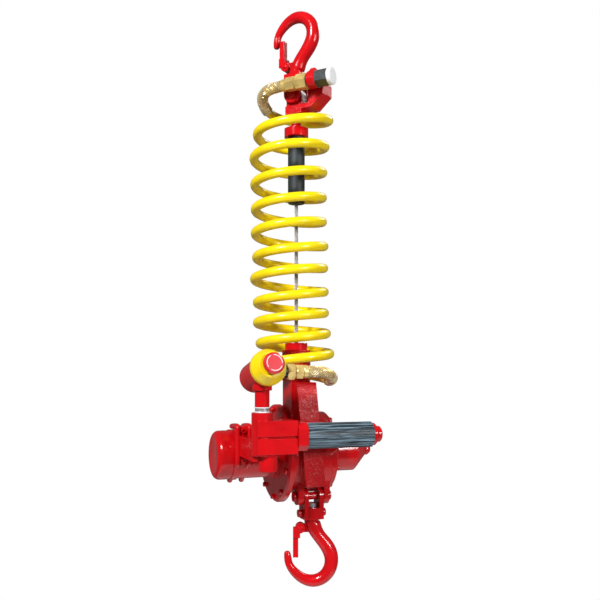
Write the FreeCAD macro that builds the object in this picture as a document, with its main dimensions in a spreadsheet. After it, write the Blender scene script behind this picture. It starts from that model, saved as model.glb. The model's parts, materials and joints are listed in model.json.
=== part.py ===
import FreeCAD, Part
import Sketcher
import math
import os
from types import SimpleNamespace

# Air balancer hanging on its top hook. +Z is up, millimetres.
# The origin is the seat of the top hook, and the rope hangs along the Z axis.
# X runs along the drum, from the air motor at -X to the gear cover at +X.
# -Y is the front, where the control handle stands out.

doc = FreeCAD.newDocument("AirBalancer")
sheet = doc.addObject("Spreadsheet::Sheet", "Sizes")

DRIVING = {
    # forged hooks, one at the top and one for the load
    "hook_seat_radius": 17,
    "hook_bar_radius": 7.8,
    "hook_back_radius": 9.2,
    "hook_tip_radius": 4.3,
    "hook_shank_radius": 9.5,
    "hook_neck_rise": 52,
    "top_hook_turn": -50,
    "load_hook_turn": -20,
    # safety latches of the hooks
    "latch_reach": 15,
    "latch_rise": 44,
    "latch_bar": 7,
    "latch_offset": 6,
    "latch_length": 38,
    "latch_width": 13,
    "latch_tongue": 9,
    "latch_relief": 2.6,
    "latch_lug": 6,
    "latch_eye_radius": 5.5,
    "latch_pin_radius": 2.5,
    # fork, pin and manifold block under the top hook
    "hanger_pin_drop": 104,
    "hanger_pin_radius": 5,
    "fork_ear": 6.5,
    "fork_radius": 12,
    "hanger_lug": 13,
    "hanger_base_drop": 132,
    "hanger_base_half": 15,
    "hanger_base_left": 10,
    "hanger_side_near": 26,
    "hanger_side_far": 48,
    "hanger_side_top": 74,
    "hanger_side_low": 111,
    "port_forward": 26,
    "port_drop": 96,
    "port_radius": 12,
    "port_near": 36,
    "port_far": 47.5,
    # inlet and hose ends
    "inlet_flats": 21,
    "inlet_length": 18,
    "inlet_bore_radius": 6,
    "cap_radius": 11.5,
    "cap_length": 5,
    "hose_nut_flats": 19,
    "hose_nut_length": 20,
    "ferrule_flats": 17,
    "ferrule_length": 22,
    "stop_nut_length": 13,
    "stop_ferrule_length": 17,
    "sleeve_radius": 7.2,
    # curly hose
    "coil_radius": 47.5,
    "hose_radius": 6.25,
    "coil_top_drop": 123,
    "coil_low_rise": 0.65,
    # rope and its top stop
    "rope_radius": 2.5,
    "rope_gap": 0.5,
    "stem_radius": 6.5,
    "stem_length": 18,
    "collar_radius": 16.4,
    "collar_length": 12,
    "stopper_radius": 11.5,
    "stopper_length": 92,
    # drum, its shell and the neck of the frame
    "drum_drop": 591,
    "drum_radius": 27.4,
    "drum_width": 33,
    "drum_flange": 4,
    "drum_flange_radius": 42,
    "drum_left": -3,
    "drum_gap": 3,
    "shell_wall": 9,
    "shell_left": -13,
    "shell_right": 44,
    "neck_radius": 19,
    "neck_rise": 138,
    "neck_foot_width": 26,
    "neck_foot_depth": 36,
    "neck_foot_rise": 98,
    "guide_radius": 15,
    "guide_height": 10,
    "guide_spigot": 9,
    "strap_forward": 31,
    "strap_rise": 96,
    "strap_fall": 39,
    "strap_width": 27,
    "strap_top_x": 3,
    "strap_low_x": 16,
    "shaft_radius": 9,
    "bearing_radius": 19,
    "bearing_width": 9,
    "run_gap": 0.05,
    "side_gap": 1,
    # covers on both sides of the shell
    "plate_radius": 65,
    "plate_width": 9,
    "gear_flange": 8,
    "gear_case_radius": 28,
    "gear_case_length": 60,
    "gear_nose_radius": 8,
    "gear_nose": 8,
    "gear_wall": 5,
    "motor_radius": 31.5,
    "motor_length": 63,
    "motor_wall": 6,
    "motor_flange_radius": 34,
    "motor_flange": 8,
    "motor_cap_length": 21,
    "motor_pad": 10,
    "motor_pad_rise": 15.5,
    "motor_pad_half": 24.5,
    "motor_shaft": 5,
    "motor_cap_round": 7,
    # control valve in front of the motor
    "valve_x": -70,
    "valve_forward": 72,
    "valve_radius": 13,
    "valve_high": 29.5,
    "valve_low": 22,
    "valve_boss_radius": 11.5,
    "valve_boss": 19,
    "valve_boss_side": 8,
    "valve_web": 26,
    "valve_web_half": 12,
    "column_radius": 9,
    "column_length": 20,
    "ring_radius": 8.5,
    "ring_length": 7,
    # emergency stop on top of the valve column
    "stop_radius": 19,
    "stop_length": 57,
    "stop_front": 21,
    "stop_tilt": 13,
    "stop_base_radius": 22,
    "stop_base": 20,
    "stop_rim": 6,
    "stop_face_radius": 16,
    "button_radius": 13,
    "button_head": 5,
    "button_stem_radius": 8,
    "button_stem": 13,
    "button_travel": 4,
    "stop_neck": 3,
    "adapter_radius": 7.5,
    "adapter_length": 6,
    # twist handle
    "handle_turn": -3,
    "handle_rise": 31.5,
    "arm_near": -9,
    "arm_far": 42,
    "arm_high": 19,
    "arm_thick": 28,
    "arm_split": 2.5,
    "flange_side": 34,
    "flange_length": 12.5,
    "flange_corner": 7,
    "spindle_radius": 7,
    "grip_radius": 16,
    "grip_rib": 1.2,
    "grip_ribs": 24,
    "grip_length": 87,
    "grip_cap_radius": 14,
    "grip_cap": 6,
    "grip_nut_radius": 10,
    "grip_nut": 7,
    # clevis and yoke of the load hook
    "load_x": 21.5,
    "clevis_pin_radius": 5,
    "clevis_ear": 8,
    "clevis_radius": 11,
    "clevis_half_gap": 14,
    "clevis_head_radius": 6.5,
    "clevis_head": 4,
    "yoke_ear": 6,
    "yoke_gap": 0.5,
    "yoke_radius": 11,
    "yoke_base_drop": 14.5,
    "yoke_base": 15,
    "yoke_base_radius": 14,
    "yoke_bolt_radius": 5,
    "yoke_bolt": 5,
    "swivel_radius": 5,
    "swivel_nut_radius": 7,
    "swivel_nut": 5,
    "load_seat_fall": 102.5,
    # parts inside the housings
    "rotor_radius": 23,
    "rotor_length": 40,
    "carrier_radius": 21,
    "carrier_length": 26,
}


class Size:
    """A number together with the sheet formula that gives it."""

    def __init__(self, number, text):
        self.number = number
        self.text = text

    def __add__(self, other):
        other = size(other)
        return Size(self.number + other.number, f"({self.text} + {other.text})")

    def __sub__(self, other):
        other = size(other)
        return Size(self.number - other.number, f"({self.text} - {other.text})")

    def __mul__(self, other):
        other = size(other)
        return Size(self.number * other.number, f"({self.text} * {other.text})")

    def __truediv__(self, other):
        other = size(other)
        return Size(self.number / other.number, f"({self.text} / {other.text})")

    def __rsub__(self, other):
        return size(other) - self

    def __neg__(self):
        return Size(-self.number, f"(0 - {self.text})")

    __radd__ = __add__
    __rmul__ = __mul__


def size(value):
    """A plain number as a Size; a Size stays as it is."""
    return value if isinstance(value, Size) else Size(value, repr(value))


def cos(angle):
    return Size(math.cos(math.radians(angle.number)), f"cos({angle.text} * 1 deg)")


def sin(angle):
    return Size(math.sin(math.radians(angle.number)), f"sin({angle.text} * 1 deg)")


def fill_sheet():
    """Writes the driving sizes into the sheet, one named cell per row."""
    for row, (alias, number) in enumerate(DRIVING.items(), 1):
        sheet.set(f"A{row}", alias.replace("_", " "))
        sheet.set(f"B{row}", str(number))
        sheet.setAlias(f"B{row}", alias)
    doc.recompute()
    cells = {alias: Size(getattr(sheet, alias), f"Sizes.{alias}") for alias in DRIVING}
    return SimpleNamespace(**cells)


s = fill_sheet()
# Heights of the hoist's pieces below the top hook, all taken from the drum axis.
s.shell_radius = s.drum_flange_radius + s.drum_gap + s.shell_wall
s.neck_drop = s.drum_drop - s.neck_rise
s.neck_foot_drop = s.drum_drop - s.neck_foot_rise
s.handle_drop = s.drum_drop - s.handle_rise
s.ring_drop = s.handle_drop - s.valve_high
s.column_drop = s.ring_drop - s.ring_length
s.stop_foot = (s.stop_radius + s.column_radius * sin(s.stop_tilt)) / cos(s.stop_tilt) + s.side_gap
s.stop_drop = s.column_drop - s.column_length - s.stop_foot
s.coil_low_drop = s.stop_drop - s.coil_low_rise
s.clevis_drop = s.drum_drop + s.shell_radius + s.side_gap
s.load_seat_drop = s.clevis_drop + s.load_seat_fall
ALONG_Z = "rotation(vector(0; 0; 1); 0)"
ALONG_X = "rotation(vector(0; 1; 0); 90)"
AGAINST_X = "rotation(vector(0; 1; 0); -90)"
ALONG_Y = "rotation(vector(1; 0; 0); -90)"
AGAINST_Y = "rotation(vector(1; 0; 0); 90)"
HEAD_DOWN = "rotation(vector(1; 0; 0); 180)"
NODES = []


def put(obj, at=(0, 0, 0), turn=0, way=ALONG_Z):
    """Binds an object's place: its foot, its turn about Z and the way its own Z axis points."""
    base = "; ".join(size(part).text for part in at)
    spin = f"rotation(vector(0; 0; 1); {size(turn).text})"
    obj.setExpression("Placement", f"placement(vector({base}); {spin} * {way})")
    return obj


def spun(x, y, turn):
    """A point of a turned frame, brought back to the frame of the part."""
    return x * cos(turn) - y * sin(turn), x * sin(turn) + y * cos(turn)


def node(obj, label):
    """Names a finished sub-part."""
    obj.Label = label
    NODES.append(obj)
    return obj


def bind(obj, **formulas):
    """Binds properties of an object to sheet formulas."""
    for name, formula in formulas.items():
        obj.setExpression(name, size(formula).text)
    return obj


def box(name, low, high):
    """A block between two corners."""
    block = doc.addObject("Part::Box", name)
    spans = [size(b) - size(a) for a, b in zip(low, high)]
    bind(block, Length=spans[0], Width=spans[1], Height=spans[2])
    return put(block, low)


def rod(name, radius, length, at=(0, 0, 0), way=ALONG_Z):
    """A round bar that starts at a point and runs along a way."""
    bar = doc.addObject("Part::Cylinder", name)
    bind(bar, Radius=radius, Height=length)
    return put(bar, at, 0, way)


def hexagon(name, flats, length, at, way):
    """A six-sided bar with a given distance across its flats."""
    bar = doc.addObject("Part::Prism", name)
    bar.Polygon = 6
    bind(bar, Circumradius=size(flats) / math.sqrt(3), Height=length)
    return put(bar, at, 0, way)


def fuse(name, *pieces, refine=True):
    """One solid of several pieces; refining joins faces that lie in one surface."""
    whole = doc.addObject("Part::MultiFuse", name)
    whole.Shapes = list(pieces)
    whole.Refine = refine
    return whole


def cut(name, base, *tools):
    tool = tools[0] if len(tools) == 1 else fuse(name + "_tools", *tools)
    rest = doc.addObject("Part::Cut", name)
    rest.Base = base
    rest.Tool = tool
    rest.Refine = True
    return rest


def outline(body, name, plane, points):
    """A closed sketch through corner points whose coordinates follow the sheet."""
    sketch = body.newObject("Sketcher::SketchObject", name)
    support = [f for f in body.Origin.OriginFeatures if f.Role == plane][0]
    sketch.AttachmentSupport = [(support, "")]
    sketch.MapMode = "FlatFace"
    corners = [(size(x), size(y)) for x, y in points]
    count = len(corners)
    for i, (x, y) in enumerate(corners):
        to_x, to_y = corners[(i + 1) % count]
        start = FreeCAD.Vector(x.number, y.number, 0)
        end = FreeCAD.Vector(to_x.number, to_y.number, 0)
        sketch.addGeometry(Part.LineSegment(start, end), False)
    for i in range(count):
        sketch.addConstraint(Sketcher.Constraint("Coincident", i, 2, (i + 1) % count, 1))
    for i, corner in enumerate(corners):
        for kind, line, part in zip(("DistanceX", "DistanceY"), (-2, -1), corner):
            if part.text in ("0", "0.0"):
                sketch.addConstraint(Sketcher.Constraint("PointOnObject", i, 1, line))
            else:
                rule = Sketcher.Constraint(kind, -1, 1, i, 1, part.number)
                place = sketch.addConstraint(rule)
                sketch.setExpression(f"Constraints[{place}]", part.text)
    return sketch


def turned(name, points):
    """A turned body: corner points (radius, height) revolved about its own Z axis."""
    body = doc.addObject("PartDesign::Body", name)
    sketch = outline(body, name + "_profile", "XZ_Plane", points)
    turn = body.newObject("PartDesign::Revolution", name + "_turn")
    turn.Profile = sketch
    turn.ReferenceAxis = (sketch, ["V_Axis"])
    turn.Angle = 360
    return body


def padded(name, points, thickness, plane="XZ_Plane"):
    """A plate: an outline in a plane, padded equally to both sides."""
    body = doc.addObject("PartDesign::Body", name)
    sketch = outline(body, name + "_outline", plane, points)
    pad = body.newObject("PartDesign::Pad", name + "_pad")
    pad.Profile = sketch
    pad.Midplane = True
    bind(pad, Length=thickness)
    return body


# Angle of each section of the bend about the bowl, and how far it flares out in tip radii.
HOOK_BEND = ((163, 2.85), (186, 1.8), (210, 0.8), (238, 0.2), (270, 0), (305, 0), (340, 0), (375, 0.15))
HOOK_BOTTOM = 270
# Sections of the rounded nose, as distance past the tip and thickness in tip radii.
HOOK_NOSE = ((0.85, 0.45), (0.5, 0.85))
# Sections of the neck, as shares of the way in and up to the shank.
HOOK_NECK = ((0.68, 0.38), (0.26, 0.7))


def hook_stations():
    """Centres and radii of the hook's round sections, from the tip to the shank."""
    seat = s.hook_seat_radius.number
    tip, bar, back = (r.number for r in (s.hook_tip_radius, s.hook_bar_radius, s.hook_back_radius))
    stations = []
    for angle, flare in HOOK_BEND:
        if angle < HOOK_BOTTOM:
            share = (angle - HOOK_BEND[0][0]) / (HOOK_BOTTOM - HOOK_BEND[0][0])
            radius = tip + (bar - tip) * share
        else:
            share = (angle - HOOK_BOTTOM) / (HOOK_BEND[-1][0] - HOOK_BOTTOM)
            radius = bar + (back - bar) * share
        reach = seat + radius + flare * tip
        turn = math.radians(angle)
        stations.append((reach * math.cos(turn), seat + reach * math.sin(turn), radius))
    side, low, _ = stations[-1]
    rise = seat + s.hook_neck_rise.number - low
    for out, up in HOOK_NECK:
        stations.append((side * out, low + rise * up, back))
    stations.append((0, low + rise, s.hook_shank_radius.number))
    tip_x, tip_z, tip = stations[0]
    out_x, out_z = tip_x - stations[1][0], tip_z - stations[1][1]
    length = math.hypot(out_x, out_z)
    step_x, step_z = out_x / length * tip, out_z / length * tip
    nose = [(tip_x + step_x * far, tip_z + step_z * far, tip * thin) for far, thin in HOOK_NOSE]
    return nose + stations


def hook_bar():
    """The forged bar of a hook, its seat at the origin and its shank pointing up."""
    stations = hook_stations()
    rings = []
    for i, (x, z, radius) in enumerate(stations):
        before = stations[max(i - 1, 0)]
        after = stations[min(i + 1, len(stations) - 1)]
        way = FreeCAD.Vector(after[0] - before[0], 0, after[1] - before[1])
        if i == len(stations) - 1:
            way = FreeCAD.Vector(0, 0, 1)
        rings.append(Part.Wire(Part.makeCircle(radius, FreeCAD.Vector(x, 0, z), way)))
    return Part.makeLoft(rings, True, False)


def block(low, high):
    """A plain block shape between two corners."""
    spans = [b - a for a, b in zip(low, high)]
    return Part.makeBox(*spans, FreeCAD.Vector(*low))


def latch_pivot():
    """Place of the latch pin beside the neck of the hook."""
    return -s.latch_reach.number, (s.hook_seat_radius + s.latch_rise).number


def latch_lug():
    """The lug on the neck that carries the latch pin, with its hole."""
    x, z = latch_pivot()
    half = s.latch_lug.number / 2
    eye = s.latch_eye_radius.number
    across = FreeCAD.Vector(0, 1, 0)
    foot = FreeCAD.Vector(x, -half, z)
    lug = Part.makeCylinder(eye, 2 * half, foot, across)
    lug = lug.fuse(block((x, -half, z - eye), (0, half, z + eye)))
    hole = Part.makeCylinder((s.latch_pin_radius + s.run_gap).number, 2 * half, foot, across)
    return lug, hole


def forged_hook(label, head, holes, at, turn, way):
    """A hook: forged bar, latch lug and the head that it hangs by."""
    lug, hole = latch_lug()
    shape = hook_bar().multiFuse([lug] + head).cut(hole)
    for tool in holes:
        shape = shape.cut(tool)
    hook = doc.addObject("Part::Feature", label)
    hook.Shape = shape.removeSplitter()
    put(hook, at, turn, way)
    return node(hook, label)


def fork_head():
    """Fork of the top hook, open for the lug of the block, and its pin hole."""
    pin = s.hanger_pin_drop.number
    radius = s.fork_radius.number
    half_slot = (s.hanger_lug / 2 + s.yoke_gap).number
    half = half_slot + s.fork_ear.number
    shank = (s.hook_seat_radius + s.hook_neck_rise).number
    across = FreeCAD.Vector(0, 1, 0)
    shoulder = shank + radius / 2
    dome = Part.makeCone(s.hook_shank_radius.number, radius - s.side_gap.number, shoulder - shank,
                         FreeCAD.Vector(0, 0, shank))
    body = block((-radius, -half, shoulder), (radius, half, pin))
    eyes = Part.makeCylinder(radius, 2 * half, FreeCAD.Vector(0, -half, pin), across)
    floor = pin - radius - 2 * s.side_gap.number
    slot = block((-2 * radius, -half_slot, floor), (2 * radius, half_slot, pin + 2 * radius))
    hole_radius = (s.hanger_pin_radius + s.run_gap).number
    hole = Part.makeCylinder(hole_radius, 2 * half, FreeCAD.Vector(0, -half, pin), across)
    return [dome, body, eyes], [slot, hole]


def swivel_head():
    """Round shank of the load hook that turns in the yoke."""
    shank = (s.hook_seat_radius + s.hook_neck_rise).number
    shoulder = (s.load_seat_drop - s.clevis_drop - s.yoke_base_drop - s.yoke_base - s.yoke_gap).number
    top = (s.load_seat_drop - s.clevis_drop - s.yoke_base_drop + s.yoke_gap + s.swivel_nut).number
    thick = Part.makeCylinder(s.hook_shank_radius.number, shoulder - shank, FreeCAD.Vector(0, 0, shank))
    thin = Part.makeCylinder(s.swivel_radius.number, top - shank, FreeCAD.Vector(0, 0, shank))
    return [thick, thin], []


def latch(prefix, at, turn, way):
    """Spring latch that closes a hook's mouth, and the pin it swings on."""
    x, z = latch_pivot()
    half = s.latch_width.number / 2
    eye = (s.latch_eye_radius + s.side_gap).number
    bar = s.latch_bar.number
    low = z - s.latch_length.number
    half_slot = (s.latch_lug / 2 + s.yoke_gap).number
    across = FreeCAD.Vector(0, 1, 0)
    foot = FreeCAD.Vector(x, -half, z)
    left = x - s.latch_offset.number - bar / 2
    tongue_half = s.latch_tongue.number / 2
    tongue = block((left, -tongue_half, low), (left + bar, tongue_half, z))
    slot_low = z - eye - s.latch_relief.number
    crank = block((left, -half, slot_low - bar / 2), (x, half, z))
    shape = Part.makeCylinder(eye, 2 * half, foot, across).multiFuse([tongue, crank])
    shape = shape.cut(block((x - 2 * eye, -half_slot, slot_low), (x + 2 * eye, half_slot, z + 2 * eye)))
    shape = shape.cut(Part.makeCylinder((s.latch_pin_radius + s.run_gap).number, 2 * half, foot, across))
    gate = doc.addObject("Part::Feature", prefix + "_latch")
    gate.Shape = shape.removeSplitter()
    node(put(gate, at, turn, way), prefix + "_latch")
    pin = doc.addObject("Part::Feature", prefix + "_latch_pin")
    pin.Shape = Part.makeCylinder(s.latch_pin_radius.number, 2 * half, foot, across)
    node(put(pin, at, turn, way), prefix + "_latch_pin")


def top_hook():
    at = (0, 0, 0)
    forged_hook("top_hook", *fork_head(), at, s.top_hook_turn, HEAD_DOWN)
    latch("top", at, s.top_hook_turn, HEAD_DOWN)


def hanger_block():
    """Manifold block: lug for the hook, base for the rope and the cross port for the air."""
    lug_half = s.hanger_lug / 2
    radius = s.fork_radius
    pin_z = -s.hanger_pin_drop
    base_top = pin_z - radius - s.hanger_lug / 3
    low = -s.hanger_base_drop
    near, far = s.hanger_side_near, s.hanger_side_far
    half, left = s.hanger_base_half, s.hanger_base_left
    front = s.port_forward - s.port_radius - s.side_gap
    side = padded("hanger_side", (
        (near, -s.hanger_side_top - s.port_radius / 3), (near + s.port_radius / 3, -s.hanger_side_top),
        (far - s.port_radius, -s.hanger_side_top), (far, -s.port_drop),
        (far, -s.hanger_side_low), (near + s.port_radius / 3, base_top - s.hanger_lug / 2),
        (half, base_top - s.hanger_lug / 2), (half, low), (-left, low), (-left, base_top), (near, base_top),
    ), 2 * front)
    lug = box("hanger_lug", (-radius, -lug_half, base_top - s.fork_ear), (radius, lug_half, pin_z))
    eye = rod("hanger_eye", radius, s.hanger_lug, (0, -lug_half, pin_z), ALONG_Y)
    port_end = (s.port_near, -s.port_forward, -s.port_drop)
    port_length = s.port_far - s.port_near
    boss = rod("port_boss", s.port_radius, port_length, port_end, ALONG_X)
    web = box("port_web", (s.port_near, -s.port_forward, -s.port_drop - s.port_radius / 2),
              (s.port_far, -front + s.side_gap, -s.port_drop + s.port_radius / 2))
    hole_radius = s.hanger_pin_radius + s.run_gap
    pin_hole = rod("hanger_pin_hole", hole_radius, s.hanger_lug, (0, -lug_half, pin_z), ALONG_Y)
    port = rod("port_bore", s.inlet_bore_radius, port_length, port_end, ALONG_X)
    stem_hole = rod("stem_hole", s.stem_radius, s.stem_length / 2, (0, 0, low))
    whole = cut("hanger_block", fuse("hanger_raw", side, lug, eye, boss, web), pin_hole, port, stem_hole)
    node(put(whole, (0, 0, 0), s.top_hook_turn), "hanger_block")
    length = s.hanger_lug + 2 * s.yoke_gap + 2 * s.fork_ear
    pin = rod("hanger_pin", s.hanger_pin_radius, length)
    foot = spun(0, -length / 2, s.top_hook_turn)
    node(put(pin, (*foot, pin_z), s.top_hook_turn, ALONG_Y), "hanger_pin")


def port_piece(x):
    """A place on the axis of the air port, x along it from the rope."""
    return (*spun(size(x), -s.port_forward, s.top_hook_turn), -s.port_drop)


def air_inlet():
    """Black hexagon adapter at the far end of the port, with its white dust cap."""
    length = s.inlet_length
    bar = hexagon("inlet_bar", s.inlet_flats, length, (0, 0, 0), ALONG_Z)
    bore = rod("inlet_bore", s.inlet_bore_radius, length)
    adapter = cut("inlet_adapter", bar, bore)
    node(put(adapter, port_piece(s.port_far), s.top_hook_turn, ALONG_X), "inlet_adapter")
    plug = s.inlet_bore_radius - s.run_gap
    edge = s.cap_length / 5
    cap = turned("inlet_cap", (
        (0, -s.cap_length), (plug, -s.cap_length), (plug, 0), (s.cap_radius, 0),
        (s.cap_radius, s.cap_length - edge), (s.cap_radius - edge, s.cap_length), (0, s.cap_length),
    ))
    node(put(cap, port_piece(s.port_far + length), s.top_hook_turn, ALONG_X), "inlet_cap")


def hose_end(prefix, lengths, at, turn, way):
    """Brass nut and ferrule of a hose end; at gives a place along its axis."""
    bore = s.inlet_bore_radius - s.side_gap
    first = 0
    for name, flats, length in zip(("nut", "ferrule"), (s.hose_nut_flats, s.ferrule_flats), lengths):
        label = f"{prefix}_hose_{name}"
        bar = hexagon(label + "_bar", flats, length, (0, 0, 0), ALONG_Z)
        whole = cut(label, bar, rod(label + "_bore", bore, length))
        node(put(whole, at(first), turn, way), label)
        first = first + length


# Route of the upper lead, in the frame of the top hook: from the ferrule round to the coil.
UPPER_ROUTE = (
    (-6, -26, -96), (-20, -26, -96), (-35, -24, -98),
    (-46, -16, -103), (-50, -6, -109.5), (-48, 2, -117.8),
)
# Route of the lower lead, up from the axis of the stop valve: from its ferrule round to the coil.
LOWER_ROUTE = (
    (-12, -72, 0), (2, -72, 0), (18, -65, -3),
    (31, -50, -6), (39, -30, -8), (43, -8, -7),
)
# Share of a run that the bend at its end may take up.
BEND_SHARE = 0.45


def cord_tube(label, points, radius):
    """A hose lead: straight runs joined by tangent arcs, as large as the runs allow."""
    corners = [FreeCAD.Vector(*p) for p in points]
    edges = []
    start = corners[0]
    for before, corner, after in zip(corners, corners[1:], corners[2:]):
        run_in, run_out = corner - before, after - corner
        half = run_in.getAngle(run_out) / 2
        leg = BEND_SHARE * min(run_in.Length, run_out.Length)
        bend = leg / math.tan(half)
        print(f"{label}: bend radius {bend:.1f} mm")
        into = FreeCAD.Vector(run_in).normalize()
        out = FreeCAD.Vector(run_out).normalize()
        first, last = corner - into * leg, corner + out * leg
        inward = (out - into).normalize()
        middle = corner + inward * (bend / math.cos(half) - bend)
        edges.append(Part.LineSegment(start, first).toShape())
        edges.append(Part.Arc(first, middle, last).toShape())
        start = last
    edges.append(Part.LineSegment(start, corners[-1]).toShape())
    path = Part.Wire(edges)
    ring = Part.Wire(Part.makeCircle(radius, corners[0], corners[1] - corners[0]))
    solid = path.makePipeShell([ring], True, False)
    expected = math.pi * radius ** 2 * path.Length
    print(f"{label}: volume {solid.Volume:.0f}, section times length {expected:.0f}")
    tube = doc.addObject("Part::Feature", label)
    tube.Shape = solid
    return tube


def hose():
    """Curly hose as one fat tube, its two leads and their brass ends."""
    hose_end("upper", (s.hose_nut_length, s.ferrule_length), lambda x: port_piece(s.port_near - x),
             s.top_hook_turn, AGAINST_X)
    upper = cord_tube("upper_sleeve", UPPER_ROUTE, s.sleeve_radius.number)
    node(put(upper, (0, 0, 0), s.top_hook_turn), "upper_sleeve")
    first = s.valve_x + s.stop_radius + s.stop_neck + s.adapter_length
    hose_end("lower", (s.stop_nut_length, s.stop_ferrule_length),
             lambda x: (first + x, -s.valve_forward, -s.stop_drop), 0, ALONG_X)
    lower = cord_tube("lower_sleeve", LOWER_ROUTE, s.sleeve_radius.number)
    node(put(lower, (0, 0, -s.stop_drop)), "lower_sleeve")
    inner = s.coil_radius - s.hose_radius
    outer = s.coil_radius + s.hose_radius
    coil = turned("coil_hose", (
        (inner, -s.coil_low_drop), (outer, -s.coil_low_drop),
        (outer, -s.coil_top_drop), (inner, -s.coil_top_drop),
    ))
    node(coil, "coil_hose")


def rope():
    """Rope, the threaded socket that holds its top end and the rubber stop below."""
    top = -s.hanger_base_drop
    stem_top = top + s.stem_length / 2
    collar_top = top - s.stem_length
    collar_low = collar_top - s.collar_length
    bore = s.rope_radius + s.rope_gap
    rope_top = top - s.stem_length / 2
    socket = turned("rope_socket", (
        (0, stem_top), (s.stem_radius, stem_top), (s.stem_radius, collar_top),
        (s.collar_radius, collar_top), (s.collar_radius, collar_low),
        (bore, collar_low), (bore, rope_top), (0, rope_top),
    ))
    node(socket, "rope_socket")
    low = collar_low - s.stopper_length
    edge = s.side_gap
    stopper = turned("rope_stopper", (
        (bore, collar_low), (s.stopper_radius, collar_low), (s.stopper_radius, low + edge),
        (s.stopper_radius - edge, low), (bore, low),
    ))
    node(stopper, "rope_stopper")
    line = rod("wire_rope", s.rope_radius, s.drum_drop + rope_top, (0, 0, -s.drum_drop))
    node(line, "wire_rope")


def drum_place(x):
    """A place on the drum axis, which the rope touches from the front."""
    return x, s.drum_radius + s.rope_radius + s.run_gap, -s.drum_drop


def frame():
    """Frame casting: drum shell, strap over its front, neck for the rope and legs for the load."""
    width = s.shell_right - s.shell_left
    inner = s.shell_radius - s.shell_wall
    shell = rod("shell", s.shell_radius, width, drum_place(s.shell_left), ALONG_X)
    strap_half = s.strap_width / 2
    strap_top, strap_low = -s.drum_drop + s.strap_rise, -s.drum_drop - s.strap_fall
    strap = padded("strap", (
        (s.strap_top_x - strap_half, strap_top), (s.strap_top_x + strap_half, strap_top),
        (s.strap_low_x + strap_half, strap_low), (s.strap_low_x - strap_half, strap_low),
    ), s.strap_forward)
    put(strap, (0, -s.strap_forward / 2, 0))
    half_w, half_d = s.neck_foot_width / 2, s.neck_foot_depth / 2
    foot = box("neck_foot", (-half_w, -half_d, -s.drum_drop), (half_w, half_d, -s.neck_foot_drop))
    chimney = rod("neck", s.neck_radius, s.neck_foot_drop - s.neck_drop, (0, 0, -s.neck_foot_drop))
    legs = []
    pin_z = -s.clevis_drop
    pin_first = s.load_x - s.clevis_half_gap - s.clevis_ear
    for side, first in (("left", pin_first), ("right", s.load_x + s.clevis_half_gap)):
        legs.append(rod(f"{side}_leg_eye", s.clevis_radius, s.clevis_ear, (first, 0, pin_z), ALONG_X))
        legs.append(box(f"{side}_leg", (first, -s.clevis_radius, pin_z),
                        (first + s.clevis_ear, s.clevis_radius, -s.drum_drop)))
    raw = fuse("frame_raw", shell, strap, foot, chimney, *legs)
    bore = rod("drum_room", inner, width, drum_place(s.shell_left), ALONG_X)
    rope_room = s.rope_radius + 2 * s.rope_gap
    rope_hole = rod("rope_hole", rope_room, s.drum_drop - s.neck_drop, (0, 0, -s.drum_drop))
    seat = rod("guide_seat", s.guide_spigot, s.guide_height, (0, 0, -s.neck_drop - s.guide_height))
    pin_span = 2 * (s.clevis_half_gap + s.clevis_ear)
    hole_radius = s.clevis_pin_radius + s.run_gap
    pin_hole = rod("clevis_hole", hole_radius, pin_span, (pin_first, 0, pin_z), ALONG_X)
    yoke_room = rod("yoke_room", s.yoke_radius + 2 * s.yoke_gap, 2 * s.clevis_half_gap,
                    (s.load_x - s.clevis_half_gap, 0, pin_z), ALONG_X)
    node(cut("frame_casting", raw, bore, rope_hole, seat, pin_hole, yoke_room), "frame_casting")
    guide_bore = s.rope_radius + s.rope_gap
    spigot = s.guide_spigot - s.run_gap
    edge = s.side_gap
    guide = turned("rope_guide", (
        (guide_bore, -s.guide_height), (spigot, -s.guide_height), (spigot, 0), (s.guide_radius, 0),
        (s.guide_radius, s.guide_height - edge), (s.guide_radius - edge, s.guide_height),
        (guide_bore + edge, s.guide_height), (guide_bore, s.guide_height - edge),
    ))
    node(put(guide, (0, 0, -s.neck_drop)), "rope_guide")


def covers():
    """Side plate on the motor side and domed gear cover on the other, each with a bearing seat."""
    spigot = s.shell_radius - s.shell_wall - s.run_gap
    depth = s.bearing_width / 2
    edge = 3 * s.side_gap
    seat = s.bearing_radius
    plate = turned("side_plate", (
        (seat, -depth), (spigot, -depth), (spigot, 0), (s.plate_radius, 0),
        (s.plate_radius, s.plate_width - edge), (s.plate_radius - edge, s.plate_width), (seat, s.plate_width),
    ))
    node(put(plate, drum_place(s.shell_left), 0, AGAINST_X), "side_plate")
    room = s.gear_case_radius - s.gear_wall
    end = s.gear_flange + s.gear_case_length
    slope = s.gear_case_radius - s.gear_nose_radius
    cover = turned("gear_cover", (
        (seat, -depth), (spigot, -depth), (spigot, 0), (s.shell_radius, 0),
        (s.shell_radius, s.gear_flange - edge), (s.shell_radius - edge, s.gear_flange),
        (s.gear_case_radius, s.gear_flange), (s.gear_case_radius, end - slope),
        (s.gear_nose_radius, end), (s.gear_nose_radius, end + s.gear_nose / 2),
        (s.gear_nose_radius - edge, end + s.gear_nose), (0, end + s.gear_nose),
        (0, end - slope - s.gear_wall), (room, end - slope - s.gear_wall), (room, depth), (seat, depth),
    ))
    node(put(cover, drum_place(s.shell_right), 0, ALONG_X), "gear_cover")


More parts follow.
